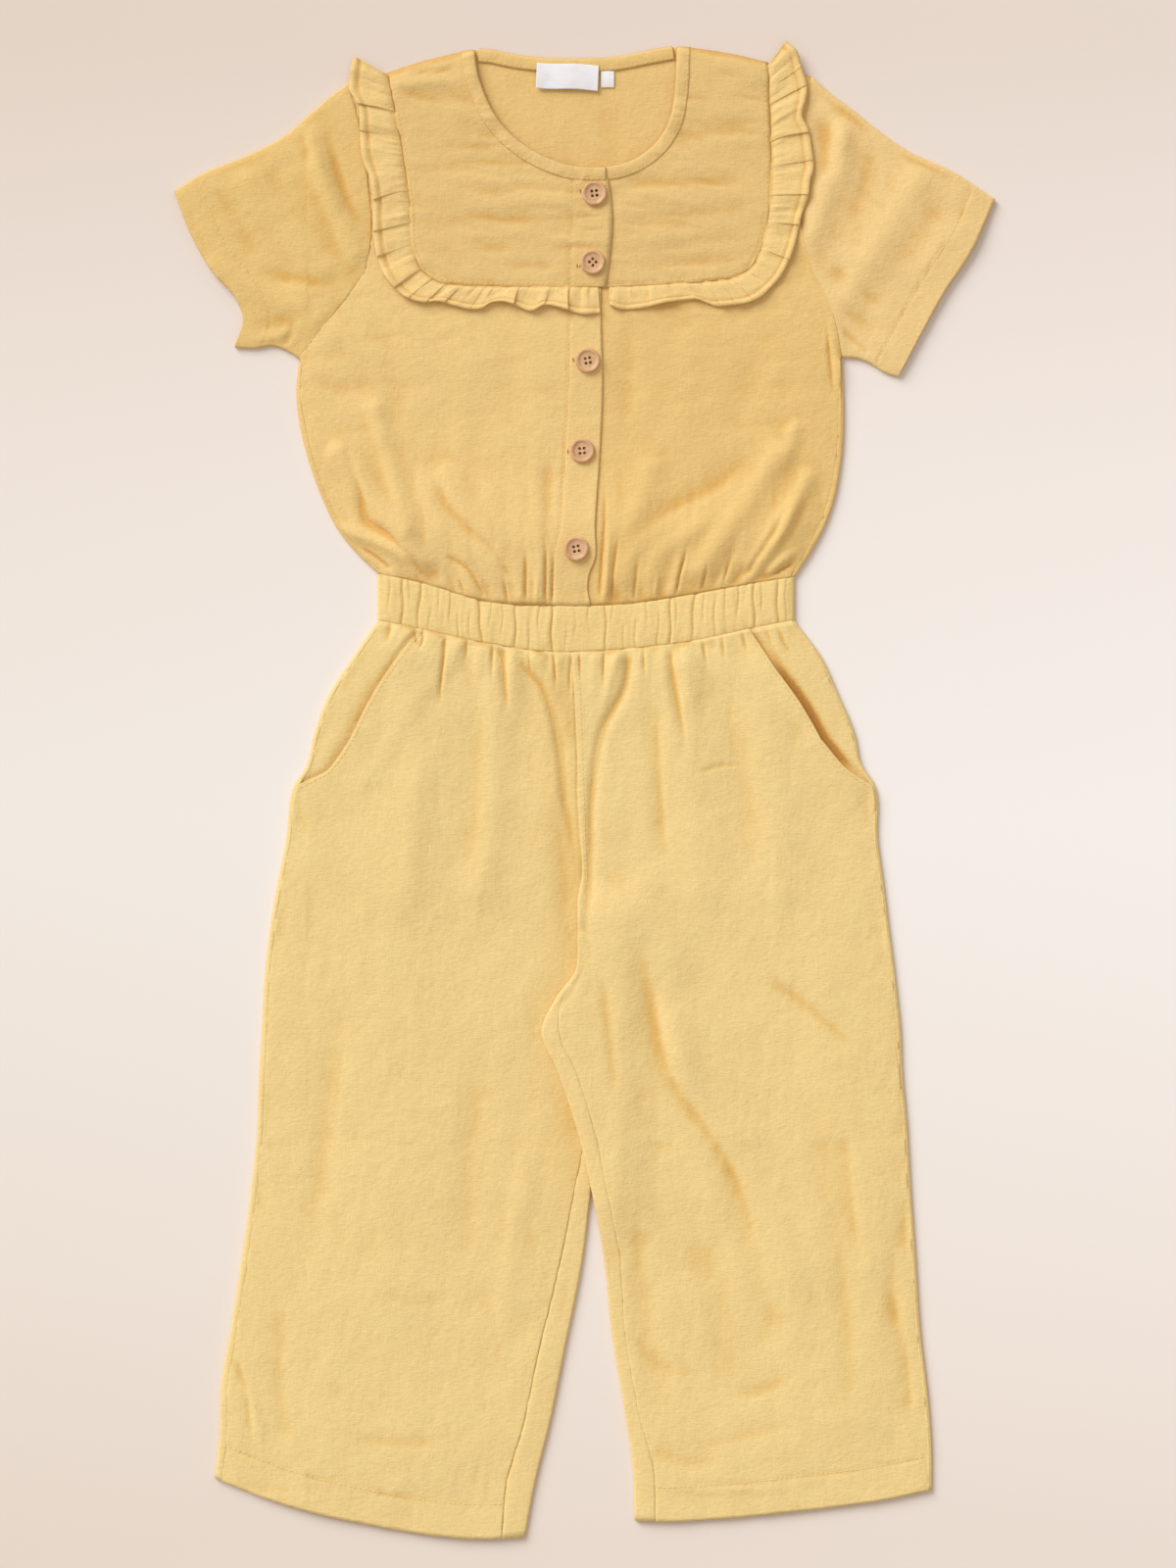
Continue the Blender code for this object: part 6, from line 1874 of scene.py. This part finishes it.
def buttonhole(number, x, y):
    """The thread that shows at a buttonhole's end, brown also for the painted shade in its slot, on the piece
    of cloth that the hole is in.
    """
    stitched_on = yoke if y > YOKE_EDGE[0][1] else left_front
    level = float(top_of(stitched_on)(np.array([(x, y)]))[0]) + BUTTONHOLE_RISE
    starts = [np.array((x + dx, y + dy, level)) for dx, dy in BUTTONHOLE_STARTS]
    ends = [start + BUTTONHOLE_RUN for start in starts]
    capsules(f"buttonhole_{number}_thread", starts, ends, BUTTONHOLE_R, dark_thread)


def label(name, centre, size, turn, level, finish, wave):
    """A woven label lying on the inside of the back, bowed a little along its middle."""
    u, v = np.meshgrid(np.linspace(-0.5, 0.5, 61), np.linspace(-0.5, 0.5, 25))
    cos, sin = math.cos(math.radians(turn)), math.sin(math.radians(turn))
    dx, dy = u * size[0], v * size[1] + wave * np.sin(2.2 * math.pi * u + 0.6) * 0.6
    plan = np.stack([centre[0] + dx * cos - dy * sin, centre[1] + dx * sin + dy * cos], axis=-1)
    z = level + LABEL_BULGE * (1 - 4 * v * v) + wave * (0.5 + 0.5 * np.sin(2 * math.pi * u * 1.4 + 1.0))
    made = shell(name, lifted(plan, z + 0.12 * noise(plan, 5, 95)), finish, thickness=LABEL_CLOTH)
    return made


# --------------------------------------------------------------------- the garment
# One cotton in lit and shaded copies: the colours differ by painted light and shade, darker on the yoke, the
# left sleeve, the right front and the inside, lighter on the legs, the band and the right sleeve.
tone = dict(
    bodice=cotton("cotton_bodice", linear(234, 198, 130)),
    right_front=cotton("cotton_front_right", linear(231, 193, 122)),
    yoke=cotton("cotton_yoke", linear(227, 190, 123)),
    left_sleeve=cotton("cotton_sleeve_left", linear(229, 192, 121), 0.5),
    right_sleeve=cotton("cotton_sleeve_right", linear(235, 199, 134), -0.7),
    legs=cotton("cotton_legs", linear(236, 205, 138)),
    band=cotton("cotton_band", linear(236, 204, 134)),
    inside=cotton("cotton_inside", linear(230, 192, 122)),
)
wood = wooden("wood", linear(216, 170, 126))
tape = satin_tape("tape", linear(236, 232, 231))
seam_thread = thread("seam_thread", linear(236, 203, 132))
# dark brown sewing thread, which also paints the shade inside the button holes
cord_thread = thread("button_thread", linear(74, 46, 28))
# brown buttonhole thread, partly painted shade of the slot
dark_thread = thread("buttonhole_thread", linear(170, 116, 56))

left_edge = ((3.6, 113.5), (1.9, 122), (2.6, 131), (6.4, 141), *FRONT_EDGE[2:])
back_panel()
left_front = front(
    "front_left", SIDE_LEFT, ARMHOLE_LEFT, left_edge, YOKE_LEFT, 1, placket_lap, True, tone["bodice"]
)
front(
    "front_right", SIDE_RIGHT, ARMHOLE_RIGHT, FRONT_UNDER, YOKE_RIGHT, -1, no_lap, False, tone["right_front"]
)
yoke = yoke_panel("yoke_left", SHOULDER_LEFT, NECK_LEFT, YOKE_LEFT, YOKE_EDGE, placket_lap, True)
yoke_panel("yoke_right", SHOULDER_RIGHT, NECK_RIGHT, YOKE_RIGHT, YOKE_UNDER, no_lap, False)
binding("neck_binding_left", NECK_LEFT, -BINDING_WIDTH, placket_lap, 1.0)
binding("neck_binding_right", NECK_RIGHT, BINDING_WIDTH, no_lap, BINDING_RIGHT_END)
back_binding()
ruffle("ruffle_left", RUFFLE_LEFT, TIP_LEFT, LAPS_LEFT, placket_lap, tone["bodice"])
ruffle("ruffle_right", RUFFLE_RIGHT, TIP_RIGHT, LAPS_RIGHT, no_lap, tone["bodice"])
sleeve("sleeve_left", SLEEVE_TOP_LEFT, SLEEVE_UNDER_LEFT, CUFF_LEFT, ARMHOLE_LEFT, 1, tone["left_sleeve"])
sleeve(
    "sleeve_right", SLEEVE_TOP_RIGHT, SLEEVE_UNDER_RIGHT, CUFF_RIGHT, ARMHOLE_RIGHT, -1, tone["right_sleeve"]
)
waistband()
leg_front("leg_front_left", LEG_LEFT, HEM_LEFT, POCKET_LEFT, no_lap, 0.6, 1)
leg_front("leg_front_right", LEG_RIGHT, HEM_RIGHT, POCKET_RIGHT, crossing_lift, 2.2, -1, [CENTRE_STITCHED])
leg_back("leg_back_left", LEG_LEFT, HEM_LEFT, no_lap)
leg_back("leg_back_right", LEG_RIGHT, HEM_RIGHT, crossing_lift)
pocket_piece("pocket_left", LEG_LEFT, HEM_LEFT, POCKET_LEFT, no_lap, 0.4)
pocket_piece("pocket_right", LEG_RIGHT, HEM_RIGHT, POCKET_RIGHT, crossing_lift, 2.0)
for number, (place_x, place_y, turned) in enumerate(BUTTONS, 1):
    button(number, place_x, place_y, turned)
for number, (end_x, end_y) in enumerate(BUTTONHOLES, 1):
    buttonhole(number, end_x, end_y)
label("neck_label", LABEL_CENTRE, LABEL_SIZE, LABEL_TURN, FLOOR + 2 * LAP, tape, 0.5)
label("size_tag", TAG_CENTRE, TAG_SIZE, 0, FLOOR + LAP, tape, 0.1)

# ------------------------------------------------------------------------- the stage
FLOOR_REACH = 15.0  # metres each way
FLOOR_DEPTH = -0.0003  # metres, just under the cloth
FLOOR_TONES = (  # place along Y in metres, and tone: painted light, darker towards the top and bottom
    (-0.46, (232, 217, 203)), (-0.3, (238, 226, 214)), (-0.02, (243, 235, 227)),
    (0.2, (240, 229, 219)), (0.46, (229, 213, 199)),
)
LEFT_TINT, RIGHT_TINT = (0.955, 0.945, 0.93, 1), (1.012, 1.02, 1.045, 1)  # painted light: factors on the floor's colour half a metre to each side, darker and warmer on the left, brighter and cooler on the right


def pale_surface():
    """A plain pale surface with painted light: darker and warmer far from its middle, and darker on its left.
    """
    paper = Nodes("pale_surface")
    place = paper.add("ShaderNodeSeparateXYZ")
    paper.join(paper.place((1, 1, 1)), place.inputs["Vector"])
    stops = [(y + 0.5, linear(*rgb)) for y, rgb in FLOOR_TONES]
    upwards = paper.ramp(paper.math("ADD", place.outputs["Y"], 0.5), stops)
    aside = paper.blend(paper.math("ADD", place.outputs["X"], 0.5), LEFT_TINT, RIGHT_TINT)
    paper.join(paper.blend(1.0, upwards, aside, "MULTIPLY"), paper.shader.inputs["Base Color"])
    paper.shader.inputs["Roughness"].default_value = 0.8
    return paper.material


floor_mesh = bpy.data.meshes.new("floor")
corners = [(x * FLOOR_REACH, y * FLOOR_REACH, FLOOR_DEPTH) for x, y in ((-1, -1), (1, -1), (1, 1), (-1, 1))]
floor_mesh.from_pydata(corners, [], [(0, 1, 2, 3)])
floor_mesh.materials.append(pale_surface())
floor = placed("floor", floor_mesh)

scene = bpy.context.scene
scene.view_settings.view_transform = "Standard"
world = bpy.data.worlds.new("studio")
world.use_nodes = True
world.node_tree.nodes["Background"].inputs["Color"].default_value = (1.0, 0.94, 0.87, 1)
world.node_tree.nodes["Background"].inputs["Strength"].default_value = 0.46
scene.world = world

sun = bpy.data.lights.new("key", "SUN")
sun.energy = 2.75
sun.angle = math.radians(40)
sun.color = (0.94, 0.99, 1.06)
placed("key", sun).rotation_euler = (math.radians(56), 0, math.radians(222))

overhead = bpy.data.lights.new("overhead", "AREA")
overhead.size = 2.4
overhead.energy = 9
overhead.color = (1.0, 0.99, 0.98)
placed("overhead", overhead).location = (0, -0.1, 2.6)

CAMERA_PLACE = (0.0021, 0.0036, 2.2)
FRAME_HEIGHT = 0.960  # of the surface, seen by the camera
camera = bpy.data.cameras.new("camera")
camera.sensor_width = 36
camera.lens = camera.sensor_width * CAMERA_PLACE[2] / FRAME_HEIGHT
holder = placed("camera", camera)
holder.location = CAMERA_PLACE
scene.camera = holder
